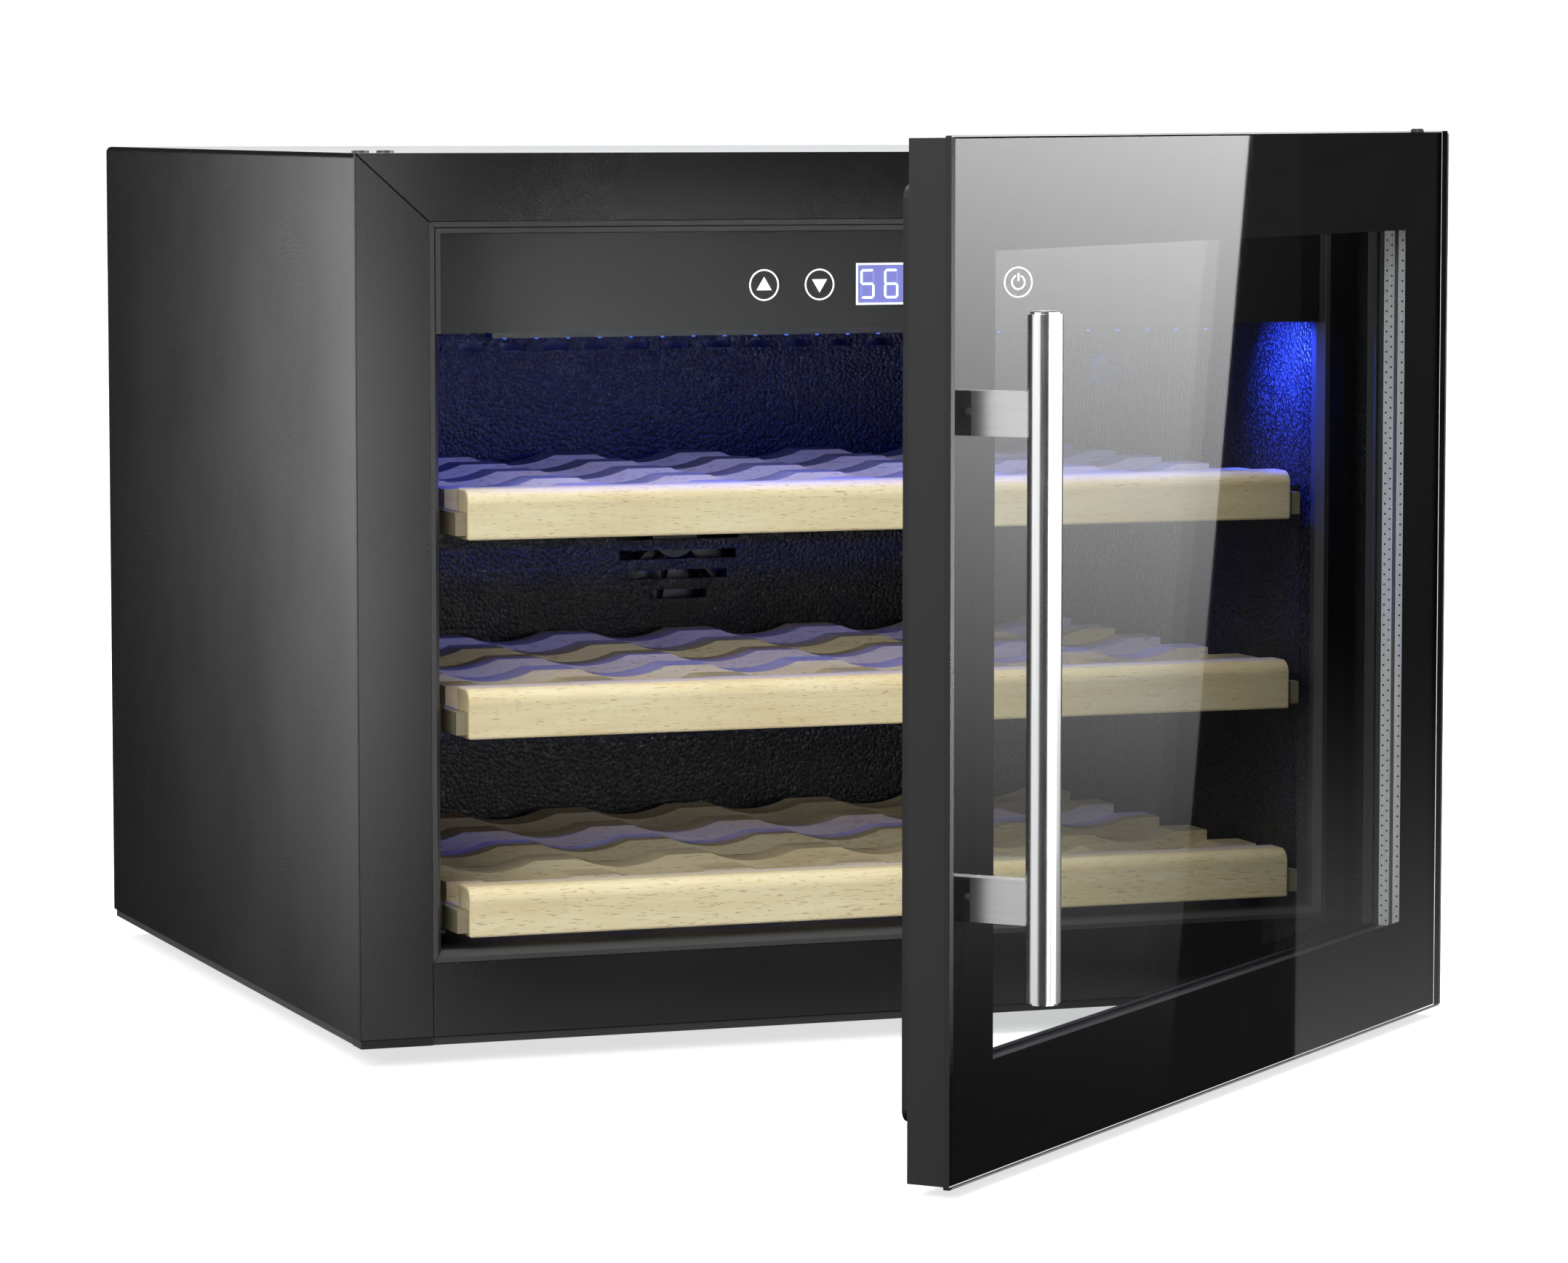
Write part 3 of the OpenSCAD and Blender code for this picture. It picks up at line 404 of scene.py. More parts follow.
def clear_pane(recipe, tint, strength):
    """Float glass: light passes straight through, and its outer faces mirror more at a slant."""
    facing = recipe.add("ShaderNodeLayerWeight", sockets={"Blend": 0.5}, output="Facing")
    inside = recipe.add("ShaderNodeNewGeometry", output="Backfacing")
    film = recipe.noise(7, 2.0)
    mirror = (0.04 + 0.96 * facing**5.0) * (1 - inside) * strength
    shader = recipe.surface(
        Base_Color=(1, 1, 1),
        Metallic=1.0,
        Roughness=0.006 + film * 0.01,
        Normal=recipe.relief(film, 0.00001),
    )
    through = recipe.add("ShaderNodeBsdfTransparent", sockets={0: rgba(tint)})
    both = recipe.add("ShaderNodeMixShader", sockets={0: mirror, 1: through})
    recipe.tree.links.new(shader.outputs[0], both.socket.node.inputs[2])
    recipe.tree.links.new(both.socket, recipe.tree.nodes["Material Output"].inputs["Surface"])


def lit_surface(recipe, shade, strength, base=0.3):
    """A lit or printed surface that shines a little of its own."""
    soft = recipe.noise(240, 2.0)
    recipe.surface(
        Base_Color=recipe.blend(soft, lighter(shade, base), lighter(shade, base * 1.2)),
        Roughness=0.2 + soft * 0.1,
        Emission_Color=recipe.blend(soft, lighter(shade, 0.9), shade),
        Emission_Strength=strength,
    )


def board_resin(recipe):
    """Green resin with pale copper tracks."""
    tracks = recipe.cells(330, feature="DISTANCE_TO_EDGE", stretch=(1, 0.4, 1))
    mask = recipe.ramp(tracks, (0.03, (1, 1, 1)), (0.06, (0, 0, 0)))
    share = recipe.add("ShaderNodeSeparateColor", sockets={0: mask})
    recipe.surface(
        Base_Color=recipe.blend(share, (0.01, 0.09, 0.03), (0.05, 0.22, 0.08)),
        Roughness=0.3 + share * 0.1,
        Normal=recipe.relief(share, 0.00005),
    )


def foam_block(recipe):
    """Blown foam with open cells at its skin."""
    pores = recipe.cells(700)
    clouds = recipe.noise(40, 3.0)
    recipe.surface(
        Base_Color=recipe.blend(clouds, (0.72, 0.60, 0.34), (0.62, 0.48, 0.24)),
        Roughness=0.85 + pores * 0.1,
        Normal=recipe.relief(pores, 0.0004),
    )


FINISH_BOOK = {
    "black_coated_steel": lambda r, c: coated_steel(r, c.case, 0.27, 0.00001, (1, 0.07, 1)),
    "silver_coated_steel": lambda r, c: coated_steel(r, c.top, 0.48, 0.00001, (0.07, 1, 1), 0.15),
    "dark_rear_steel": lambda r, c: coated_steel(r, (0.035, 0.035, 0.036), 0.5, 0.00003),
    "base_steel": lambda r, c: coated_steel(r, (0.03, 0.03, 0.03), 0.5, 0.00003),
    "pu_foam": lambda r, c: foam_block(r),
    "black_liner": lambda r, c: embossed_liner(r, c.liner),
    "charcoal_frame": lambda r, c: coated_steel(r, c.front, 0.26, 0.000008),
    "satin_trim": lambda r, c: coated_steel(r, c.trim, 0.38, 0.00001),
    "gloss_black": lambda r, c: gloss_panel(r, c.fascia, 0.2, 0.36),
    "black_plastic": lambda r, c: moulded_plastic(r, (0.018, 0.018, 0.019), 0.42),
    "circuit_board": lambda r, c: board_resin(r),
    "display_white": lambda r, c: lit_surface(r, (0.86, 0.88, 0.95), 0.45, 0.8),
    "display_blue": lambda r, c: lit_surface(r, c.window, 0.8, 0.6),
    "display_light": lambda r, c: lit_surface(r, c.figures, 2.6),
    "icon_white": lambda r, c: lit_surface(r, (0.95, 0.96, 1.0), 0.75, 0.8),
    "bare_aluminium": lambda r, c: bare_metal(r, (0.80, 0.81, 0.82), 0.32, (0.08, 1, 1)),
    "galvanised": lambda r, c: zinc_sheet(r, (0.55, 0.57, 0.59)),
    "steel_zinc": lambda r, c: bare_metal(r, (0.60, 0.61, 0.62), 0.34),
    "dark_runner": lambda r, c: moulded_plastic(r, (0.014, 0.014, 0.015), 0.36),
    "compressor_black": lambda r, c: coated_steel(r, (0.012, 0.012, 0.013), 0.3, 0.00012),
    "copper": lambda r, c: bare_metal(r, (0.78, 0.42, 0.26), 0.26, (0.1, 1, 1)),
    "mount_rubber": lambda r, c: moulded_plastic(r, (0.02, 0.02, 0.02), 0.75, 0.00006),
    "fan_plastic": lambda r, c: moulded_plastic(r, (0.02, 0.02, 0.021), 0.38),
    "bracket_steel": lambda r, c: bare_metal(r, (0.10, 0.10, 0.105), 0.36),
    "clear_glass": lambda r, c: clear_pane(r, (0.985, 0.99, 0.988), 1.0),
    "inner_glass": lambda r, c: clear_pane(r, (0.985, 0.99, 0.988), 0.2),
    "black_print": lambda r, c: gloss_panel(r, c.door_print, 0.6, 0.02),
    "spacer_aluminium": lambda r, c: coated_steel(
        r, (0.62, 0.625, 0.64), 0.4, 0.00001, (1, 1, 0.05), 0.1
    ),
    "door_profile": lambda r, c: coated_steel(r, c.profile, 0.42, 0.00002, (1, 1, 0.06)),
    "gasket_rubber": lambda r, c: moulded_plastic(r, (0.004, 0.004, 0.0043), 0.5, 0.00003, 500),
    "polished_steel": lambda r, c: bare_metal(r, (0.90, 0.90, 0.91), 0.2, (1, 1, 0.03), 0.000001),
    "brushed_post": lambda r, c: bare_metal(r, (0.62, 0.62, 0.63), 0.3, (0.05, 0.05, 1), 0.00001, 900),
    "bush_plastic": lambda r, c: moulded_plastic(r, (0.7, 0.69, 0.65), 0.35),
    "ground_edge": lambda r, c: moulded_plastic(r, (0.62, 0.66, 0.66), 0.3, 0.00001, 1500),
    "breathing_hole": lambda r, c: moulded_plastic(r, (0.012, 0.012, 0.013), 0.7, 0.00001),
    "edge_coating": lambda r, c: moulded_plastic(r, (0.004, 0.004, 0.0045), 0.5, 0.00001, 1200),
    "spacer_sealant": lambda r, c: moulded_plastic(r, (0.03, 0.03, 0.031), 0.4, 0.00004, 700),
    "seam_shadow": lambda r, c: moulded_plastic(r, (0.004, 0.004, 0.004), 0.7, 0.00001),
    "foot_cap": lambda r, c: moulded_plastic(r, (0.004, 0.004, 0.0042), 0.5, 0.00002),
    "strip_lens": lambda r, c: lit_surface(r, (0.01, 0.02, 0.08), 0.05),
    "lamp_chip": lambda r, c: lit_surface(r, (0.10, 0.22, 1.0), 1.0),
    "dull_evaporator": lambda r, c: bare_metal(r, (0.16, 0.16, 0.17), 0.5, (0.08, 1, 1)),
    "unlit_segment": lambda r, c: lit_surface(r, (0.22, 0.24, 0.62), 0.75, 0.6),
}
made = {}


def finish(name):
    """The named finish, made once."""
    if name not in made:
        recipe = Recipe(name)
        FINISH_BOOK[name](recipe, colours())
        made[name] = recipe.material
    return made[name]


def beech_for(node):
    """Beech whose grain runs along the node's longest side, different on every shelf, and darkened on the rails as
    painted shade.
    """
    low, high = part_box(node)
    span = high - low
    axis = max(range(3), key=lambda i: span[i]) if "deck" not in node else 0
    recipe = Recipe("beech_" + node)
    # Painted shade: the rails' beech is darkened to 0.3, standing in for the shade on their dim ends
    beech(recipe, axis, (sum(map(ord, node)) % 37) * 0.41, colours(), 0.3 if "rails" in node else 1.0)
    return recipe.material


# Nodes whose finish differs from the one their slot has elsewhere
OWN_FINISH = {
    "door_inner_panes": "inner_glass",
    "led_strip": "strip_lens",
    "stile_foot_caps": "foot_cap",
    "evaporator_plate": "dull_evaporator",
}


def node_finish(node, slot):
    if slot == "beech":
        return beech_for(node)
    return finish(OWN_FINISH.get(node, slot))


# ---------------------------------------------------------------- shaping


def door_swing():
    """Carries a place on the shut door to where the door stands at rest."""
    turn = Matrix.Rotation(OPEN_TURN, 4, "Z")
    return Matrix.Translation(HINGE_PLACE) @ turn @ Matrix.Translation(-HINGE_PLACE)


def shut_box(node):
    """Lowest and highest corner of a door node with the door shut."""
    back = door_swing().inverted()
    points = [back @ v.co for v in frame["nodes"][node].data.vertices]
    low = Vector([min(p[i] for p in points) for i in range(3)])
    high = Vector([max(p[i] for p in points) for i in range(3)])
    return low, high


def add_block(shape, low, high, turn=None):
    """A rectangular bar between two corners."""
    low, high = Vector(low), Vector(high)
    place = Matrix.Translation((low + high) / 2) @ Matrix.Diagonal((*(high - low), 1.0))
    return bmesh.ops.create_cube(shape, size=1.0, matrix=(turn @ place) if turn else place)


def add_stud(shape, centre, normal, radius, height, sides=16, tip=None):
    """A round stud, straight or tapered, standing along its normal."""
    aim = Vector(normal).to_track_quat("Z", "Y").to_matrix().to_4x4()
    place = Matrix.Translation(Vector(centre)) @ aim @ Matrix.Translation((0, 0, height / 2))
    bmesh.ops.create_cone(
        shape,
        cap_ends=True,
        segments=sides,
        radius1=radius,
        radius2=radius if tip is None else tip,
        depth=height,
        matrix=place,
    )


def add_line(shape, start, end, width):
    """A fine square bar from one place to another."""
    start, end = Vector(start), Vector(end)
    aim = (end - start).to_track_quat("Z", "Y").to_matrix().to_4x4()
    stretch = Matrix.Diagonal((width, width, (end - start).length, 1.0))
    bmesh.ops.create_cube(shape, size=1.0, matrix=Matrix.Translation((start + end) / 2) @ aim @ stretch)


def sweep(shape, path, profile, normal, closed=True):
    """Draws a profile along a flat path.

    The profile's first number runs towards the inside of a loop, and its second along normal.
    """
    normal = Vector(normal).normalized()
    rows = []
    count = len(path)
    for i, point in enumerate(path):
        before = path[i - 1] if closed or i else path[i]
        after = path[(i + 1) % count] if closed or i < count - 1 else path[i]
        ahead = (Vector(after) - Vector(before)).normalized()
        side = ahead.cross(normal)
        rows.append([shape.verts.new(Vector(point) + side * a + normal * b) for a, b in profile])
    steps = count if closed else count - 1
    for i in range(steps):
        here, there = rows[i], rows[(i + 1) % count]
        for k in range(len(profile)):
            n = (k + 1) % len(profile)
            shape.faces.new((here[k], here[n], there[n], there[k]))
    if not closed:
        shape.faces.new(rows[0])
        shape.faces.new(reversed(rows[-1]))


def round_profile(radius, sides=8):
    turns = [2 * math.pi * k / sides for k in range(sides)]
    return [(radius * math.cos(t), radius * math.sin(t)) for t in turns]


def rounded_loop(low, high, y, radius, steps=5):
    """A rounded rectangle in the door's plane, as points at depth y."""
    corners = [
        (high[0] - radius, low[2] + radius, -90),
        (high[0] - radius, high[2] - radius, 0),
        (low[0] + radius, high[2] - radius, 90),
        (low[0] + radius, low[2] + radius, 180),
    ]
    points = []
    for x, z, start in corners:
        for k in range(steps + 1):
            turn = math.radians(start + 90 * k / steps)
            points.append(Vector((x + radius * math.cos(turn), y, z + radius * math.sin(turn))))
    return points


def circle_path(centre, radius, y, steps=48):
    turns = [2 * math.pi * k / steps for k in range(steps)]
    x, z = centre
    return [Vector((x + radius * math.cos(t), y, z + radius * math.sin(t))) for t in turns]


def set_piece(name, shape, body, slot, finish_name=None, smooth=False, on_door=False):
    """Turns a shape into a piece that rides on its body and wears its finish."""
    if on_door:
        bmesh.ops.transform(shape, matrix=door_swing(), verts=shape.verts)
    bmesh.ops.recalc_face_normals(shape, faces=shape.faces)
    mesh = bpy.data.meshes.new(name)
    shape.to_mesh(mesh)
    shape.free()
    for face in mesh.polygons:
        face.use_smooth = smooth
    mesh.materials.append(finish(finish_name or slot))
    piece = bpy.data.objects.new(name, mesh)
    bpy.context.scene.collection.objects.link(piece)
    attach(piece, body)
    return piece


def soften(node, width, segments=2):
    """Rounds a node's sharp edges without touching its mesh."""
    part = frame["nodes"][node]
    weld = part.modifiers.new("weld", "WELD")
    weld.merge_threshold = 0.00001
    flat = part.modifiers.new("flatten", "DECIMATE")
    flat.decimate_type = "DISSOLVE"
    flat.angle_limit = math.radians(1.0)
    edge = part.modifiers.new("edge", "BEVEL")
    edge.width = width
    edge.segments = segments
    edge.limit_method = "ANGLE"
    edge.angle_limit = math.radians(40)
    edge.use_clamp_overlap = True
    edge.harden_normals = False


# ---------------------------------------------------------------- operators


class PieceOperator(bpy.types.Operator):
    """Shared manners of the cooler's operators."""

    bl_options = {"REGISTER"}

    def execute(self, context):
        self.build(sizes(), colours())
        return {"FINISHED"}


class COOLER_OT_finishes(PieceOperator):
    """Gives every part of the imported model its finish"""

    bl_idname = "cooler.finishes"
    bl_label = "Finishes"

    def build(self, size, look):
        slots = {s["node"]: s["material_slot"] for s in frame["record"]["subparts"]}
        missing = sorted(set(slots) ^ set(frame["nodes"]))
        if missing:
            raise RuntimeError(f"no finish for {missing}")
        for node, slot in slots.items():
            part = frame["nodes"][node]
            part.data.materials.clear()
            part.data.materials.append(node_finish(node, slot))


class COOLER_OT_soft_edges(PieceOperator):
    """Rounds the edges of rails, panels and shelves, which leaves fine seams between them"""

    bl_idname = "cooler.soft_edges"
    bl_label = "Soft edges"
    metal = ("front_stile_left", "front_stile_right", "front_top_rail", "kick_rail")
    wood = ("shelf_top_front", "shelf_middle_front", "shelf_bottom_front")

    def build(self, size, look):
        for node in self.metal:
            soften(node, size.edge_round)
        for node in self.wood:
            soften(node, size.wood_round, 3)


def spacer_frames():
    """The two spacers' inner corners and where each begins and ends between the panes."""
    low, high = shut_box("glass_spacers")
    pane_front = shut_box("door_inner_panes")[0][1]
    wall = Vector((SPACER_WALL, 0, SPACER_WALL))
    return low + wall, high - wall, ((low[1], pane_front), (pane_front + PANE, high[1]))


class COOLER_OT_spacer_holes(PieceOperator):
    """Two staggered rows of breathing holes along each upright spacer between the panes"""

    bl_idname = "cooler.spacer_holes"
    bl_label = "Spacer holes"

    def build(self, size, look):
        low, high, gaps = spacer_frames()
        shape = bmesh.new()
        apart = 1.3 * MM
        for front, back in gaps:
            middle = (front + back) / 2
            self.add_row(shape, low, high, middle - apart, 0.5, size)
            self.add_row(shape, low, high, middle + apart, 1.0, size)
        set_piece(
            "spacer_breathing_holes", shape, "door", "spacer_aluminium", "breathing_hole", on_door=True
        )

    def add_row(self, shape, low, high, y, start, size):
        proud = 0.06 * MM
        z = low[2] + size.dot_pitch * start
        while z < high[2] - size.dot_pitch * 0.4:
            add_stud(shape, (high[0] + proud, y, z), (-1, 0, 0), size.dot_radius, proud * 2, 8)
            add_stud(shape, (low[0] - proud, y, z), (1, 0, 0), size.dot_radius, proud * 2, 8)
            z += size.dot_pitch


class COOLER_OT_sealant(PieceOperator):
    """Dark sealant over the upper and lower spacers between the panes"""

    bl_idname = "cooler.sealant"
    bl_label = "Spacer sealant"

    def build(self, size, look):
        low, high, gaps = spacer_frames()
        inset = 0.2 * MM
        shape = bmesh.new()
        for front, back in gaps:
            for z0, z1 in ((low[2], low[2] + size.sealant), (high[2] - size.sealant, high[2])):
                add_block(shape, (low[0], front + inset, z0), (high[0], back - inset, z1))
        set_piece("spacer_sealant", shape, "door", "spacer_aluminium", "spacer_sealant", on_door=True)


class COOLER_OT_gasket_lips(PieceOperator):
    """Soft lips that run round the inner and outer sides of the gasket"""

    bl_idname = "cooler.gasket_lips"
    bl_label = "Gasket lips"

    def build(self, size, look):
        low, high = shut_box("door_gasket")
        outer_corner, inner_corner = 6 * MM, 3 * MM
        shape = bmesh.new()
        profile = round_profile(size.lip_radius)
        depths = [low[1] + (high[1] - low[1]) * share for share in (0.30, 0.62)]
        inner = Vector((GASKET_WIDTH, 0, GASKET_WIDTH))
        for y in depths:
            sweep(shape, rounded_loop(low, high, y, outer_corner), profile, (0, 1, 0))
            sweep(shape, rounded_loop(low + inner, high - inner, y, inner_corner), profile, (0, 1, 0))
        set_piece("gasket_lips", shape, "door", "gasket_rubber", smooth=True, on_door=True)


class COOLER_OT_glass_edge(PieceOperator):
    """The bright ground edge along the foot and the hinge side of the front glass, and its dark sides"""

    bl_idname = "cooler.glass_edge"
    bl_label = "Glass edges"

    def build(self, size, look):
        low, high = shut_box("door_glass_front")
        self.add_ground_edge(low, high, size.bevel_strip)
        self.add_dark_sides(low, high, size.bevel_strip, size.edge_band)

    def add_ground_edge(self, low, high, w):
        skin = 0.05 * MM
        profile = [(-skin, w), (0, w), (w, 0), (w, -skin)]
        path = [
            Vector((low[0] + w, low[1], low[2])),
            Vector((high[0] - w, low[1], low[2])),
            Vector((high[0], low[1], low[2] + w)),
            Vector((high[0], low[1], high[2] - w)),
        ]
        shape = bmesh.new()
        sweep(shape, path, profile, (0, 1, 0), closed=False)
        set_piece("ground_glass_edge", shape, "door", "clear_glass", "ground_edge", on_door=True)

    def add_dark_sides(self, low, high, w, band):
        depth = high[1] - low[1]
        profile = [(-band, w), (0, w), (0, depth), (-band, depth)]
        shape = bmesh.new()
        sweep(shape, rounded_loop(low, high, low[1], 0.4 * MM, 2), profile, (0, 1, 0))
        set_piece("dark_glass_sides", shape, "door", "black_print", "edge_coating", on_door=True)


class COOLER_OT_hinge_caps(PieceOperator):
    """Two domed caps over the screws in the door's top beside the hinge"""

    bl_idname = "cooler.hinge_caps"
    bl_label = "Hinge caps"
    spots = (-3 * MM, 5 * MM)
    steps = ((1.0, 1.0), (0.93, 0.7), (0.72, 0.5))

    def build(self, size, look):
        top = shut_box("door_frame")[1][2]
        shape = bmesh.new()
        for shift in self.spots:
            z = top
            for wide, thick in self.steps:
                place = (HINGE_PLACE[0] + shift, HINGE_PLACE[1], z)
                radius = size.cap_radius * wide
                add_stud(shape, place, (0, 0, 1), radius, thick * MM, 24, radius * 0.9)
                z += thick * MM
        set_piece("hinge_caps", shape, "door", "black_plastic", "foot_cap", on_door=True)


class COOLER_OT_trim_lines(PieceOperator):
    """Mitre lines at the trim's corners, and the rim that closes the gap round the control panel"""

    bl_idname = "cooler.trim_lines"
    bl_label = "Trim lines and rim"

    def build(self, size, look):
        low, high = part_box("opening_trim")
        self.add_mitres(low, high, size.mitre)
        self.add_rim(high)

    def add_mitres(self, low, high, width):
        flat, slope, rise = 2.5 * MM, 3 * MM, 5 * MM
        shape = bmesh.new()
        for x, right in ((low[0], 1), (high[0], -1)):
            for z, up in ((low[2], 1), (high[2], -1)):
                outer = Vector((x, low[1], z))
                fold = outer + Vector((right * flat, 0, up * flat))
                inner = fold + Vector((right * slope, rise, up * slope))
                add_line(shape, outer, fold, width)
                add_line(shape, fold, inner, width)
        set_piece("trim_mitre_lines", shape, "cabinet", "satin_trim", "seam_shadow")

    def add_rim(self, trim_high):
        low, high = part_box("control_fascia")
        gap, reach, rise = 0.25 * MM, 2.8 * MM, 2.7 * MM
        front, back = trim_high[1] - 9.7 * MM, low[1]
        shape = bmesh.new()
        over = (low[0] - reach, front, high[2] + gap), (high[0] + reach, back, high[2] + rise)
        add_block(shape, *over)
        for x in (low[0] - reach, high[0] + gap):
            add_block(shape, (x, front, low[2]), (x + reach - gap, back, high[2] + gap))
        set_piece("panel_rim", shape, "cabinet", "satin_trim")


class COOLER_OT_handle_ends(PieceOperator):
    """Turned plugs that close the two ends of the handle bar, each with a fine step"""

    bl_idname = "cooler.handle_ends"
    bl_label = "Handle ends"

    def build(self, size, look):
        low, high = shut_box("handle_bar")
        middle = (low + high) / 2
        shape = bmesh.new()
        wide, sunk = size.plug_radius, 0.1 * MM
        for z, way in ((high[2], 1), (low[2], -1)):
            base = (middle[0], middle[1], z - way * sunk)
            add_stud(shape, base, (0, 0, way), wide, 0.5 * MM, 40, wide - 0.25 * MM)
        set_piece("handle_end_plugs", shape, "door", "polished_steel", on_door=True)


class COOLER_OT_lamps(PieceOperator):
    """Small domed lamps along the underside of the light strip"""

    bl_idname = "cooler.lamps"
    bl_label = "Strip lamps"

    def build(self, size, look):
        low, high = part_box("led_strip")
        middle = (low[1] + high[1]) / 2
        shape = bmesh.new()
        x = low[0] + size.lamp_pitch / 2
        while x < high[0]:
            start = (x, middle, low[2] + 0.1 * MM)
            add_stud(shape, start, (0, 0, -1), size.lamp_radius, 0.9 * MM, 14, size.lamp_radius * 0.6)
            x += size.lamp_pitch
        set_piece("strip_lamps", shape, "cabinet", "led_blue", "lamp_chip")


class COOLER_OT_faint_segments(PieceOperator):
    """The display's unlit segments, just visible beside the lit ones"""

    bl_idname = "cooler.faint_segments"
    bl_label = "Faint segments"

    def build(self, size, look):
        low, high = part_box("display_digits")
        middle = (low + high) / 2
        line, pitch = size.figure_line, size.figure_pitch
        arm_x = (high[0] - low[0] - pitch - line) / 2
        arm_z = (high[2] - low[2] - line) / 4
        shape = bmesh.new()
        for x, unlit in ((-pitch / 2, ((1, 1), (-1, -1))), (pitch / 2, ((1, 1),))):
            for side, level in unlit:
                centre = (middle[0] + x + side * arm_x, middle[2] + level * arm_z)
                self.add_segment(shape, centre, arm_z * 0.86, line * 0.9, high[1], low[1])
        set_piece("unlit_segments", shape, "cabinet", "display_blue", "unlit_segment")

    def add_segment(self, shape, centre, half, width, back, front):
        x, z = centre
        w = width / 2
        outline = [(0, -half), (w, -half + w), (w, half - w), (0, half), (-w, half - w), (-w, -half + w)]
        y = (back * 2 + front) / 3
        near = [shape.verts.new((x + a, y, z + b)) for a, b in outline]
        far = [shape.verts.new((x + a, back, z + b)) for a, b in outline]
        shape.faces.new(near)
        shape.faces.new(reversed(far))
        for k in range(len(outline)):
            n = (k + 1) % len(outline)
            shape.faces.new((near[k], far[k], far[n], near[n]))


class COOLER_OT_fan_guard(PieceOperator):
    """A wire guard of rings and spokes over the condenser fan"""

    bl_idname = "cooler.fan_guard"
    bl_label = "Fan guard"

    def build(self, size, look):
        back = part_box("condenser_fan_shroud")[1][1]
        rotor_low, rotor_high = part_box("condenser_fan_rotor")
        centre = ((rotor_low[0] + rotor_high[0]) / 2, (rotor_low[2] + rotor_high[2]) / 2)
        reach = (rotor_high[0] - rotor_low[0]) / 2
        wire = size.guard_wire
        shape = bmesh.new()
        radius = 2 * size.guard_pitch
        while radius < reach + size.guard_pitch:
            sweep(shape, circle_path(centre, radius, back + wire), round_profile(wire, 6), (0, 1, 0))
            radius += size.guard_pitch
        for turn in range(4):
            angle = math.radians(45 + 90 * turn)
            way = Vector((math.cos(angle), 0, math.sin(angle)))
            start = Vector((centre[0], back + 2.4 * wire, centre[1])) + way * size.guard_pitch * 1.7
            add_stud(shape, start, way, wire * 1.2, reach - size.guard_pitch * 0.9, 8)
        set_piece("condenser_fan_guard", shape, "cabinet", "steel_zinc", smooth=True)


class COOLER_OT_fins(PieceOperator):
    """Thin aluminium fins pressed on to the condenser's tubes"""

    bl_idname = "cooler.fins"
    bl_label = "Condenser fins"

    def build(self, size, look):
        low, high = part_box("condenser_coil")
        middle = (low[0] + high[0]) / 2
        reach, tall, inset = 52 * MM, 148 * MM, 1 * MM
        shape = bmesh.new()
        top = high[2] - inset
        bottom = max(low[2] + (high[2] - low[2]) * 0.42, top - tall)
        x = -reach
        while x < reach:
            place = middle + x
            add_block(
                shape,
                (place, low[1] + inset, bottom),
                (place + size.fin_thickness, high[1] - inset, top),
            )
            x += size.fin_pitch
        set_piece("condenser_fins", shape, "cabinet", "bare_aluminium")


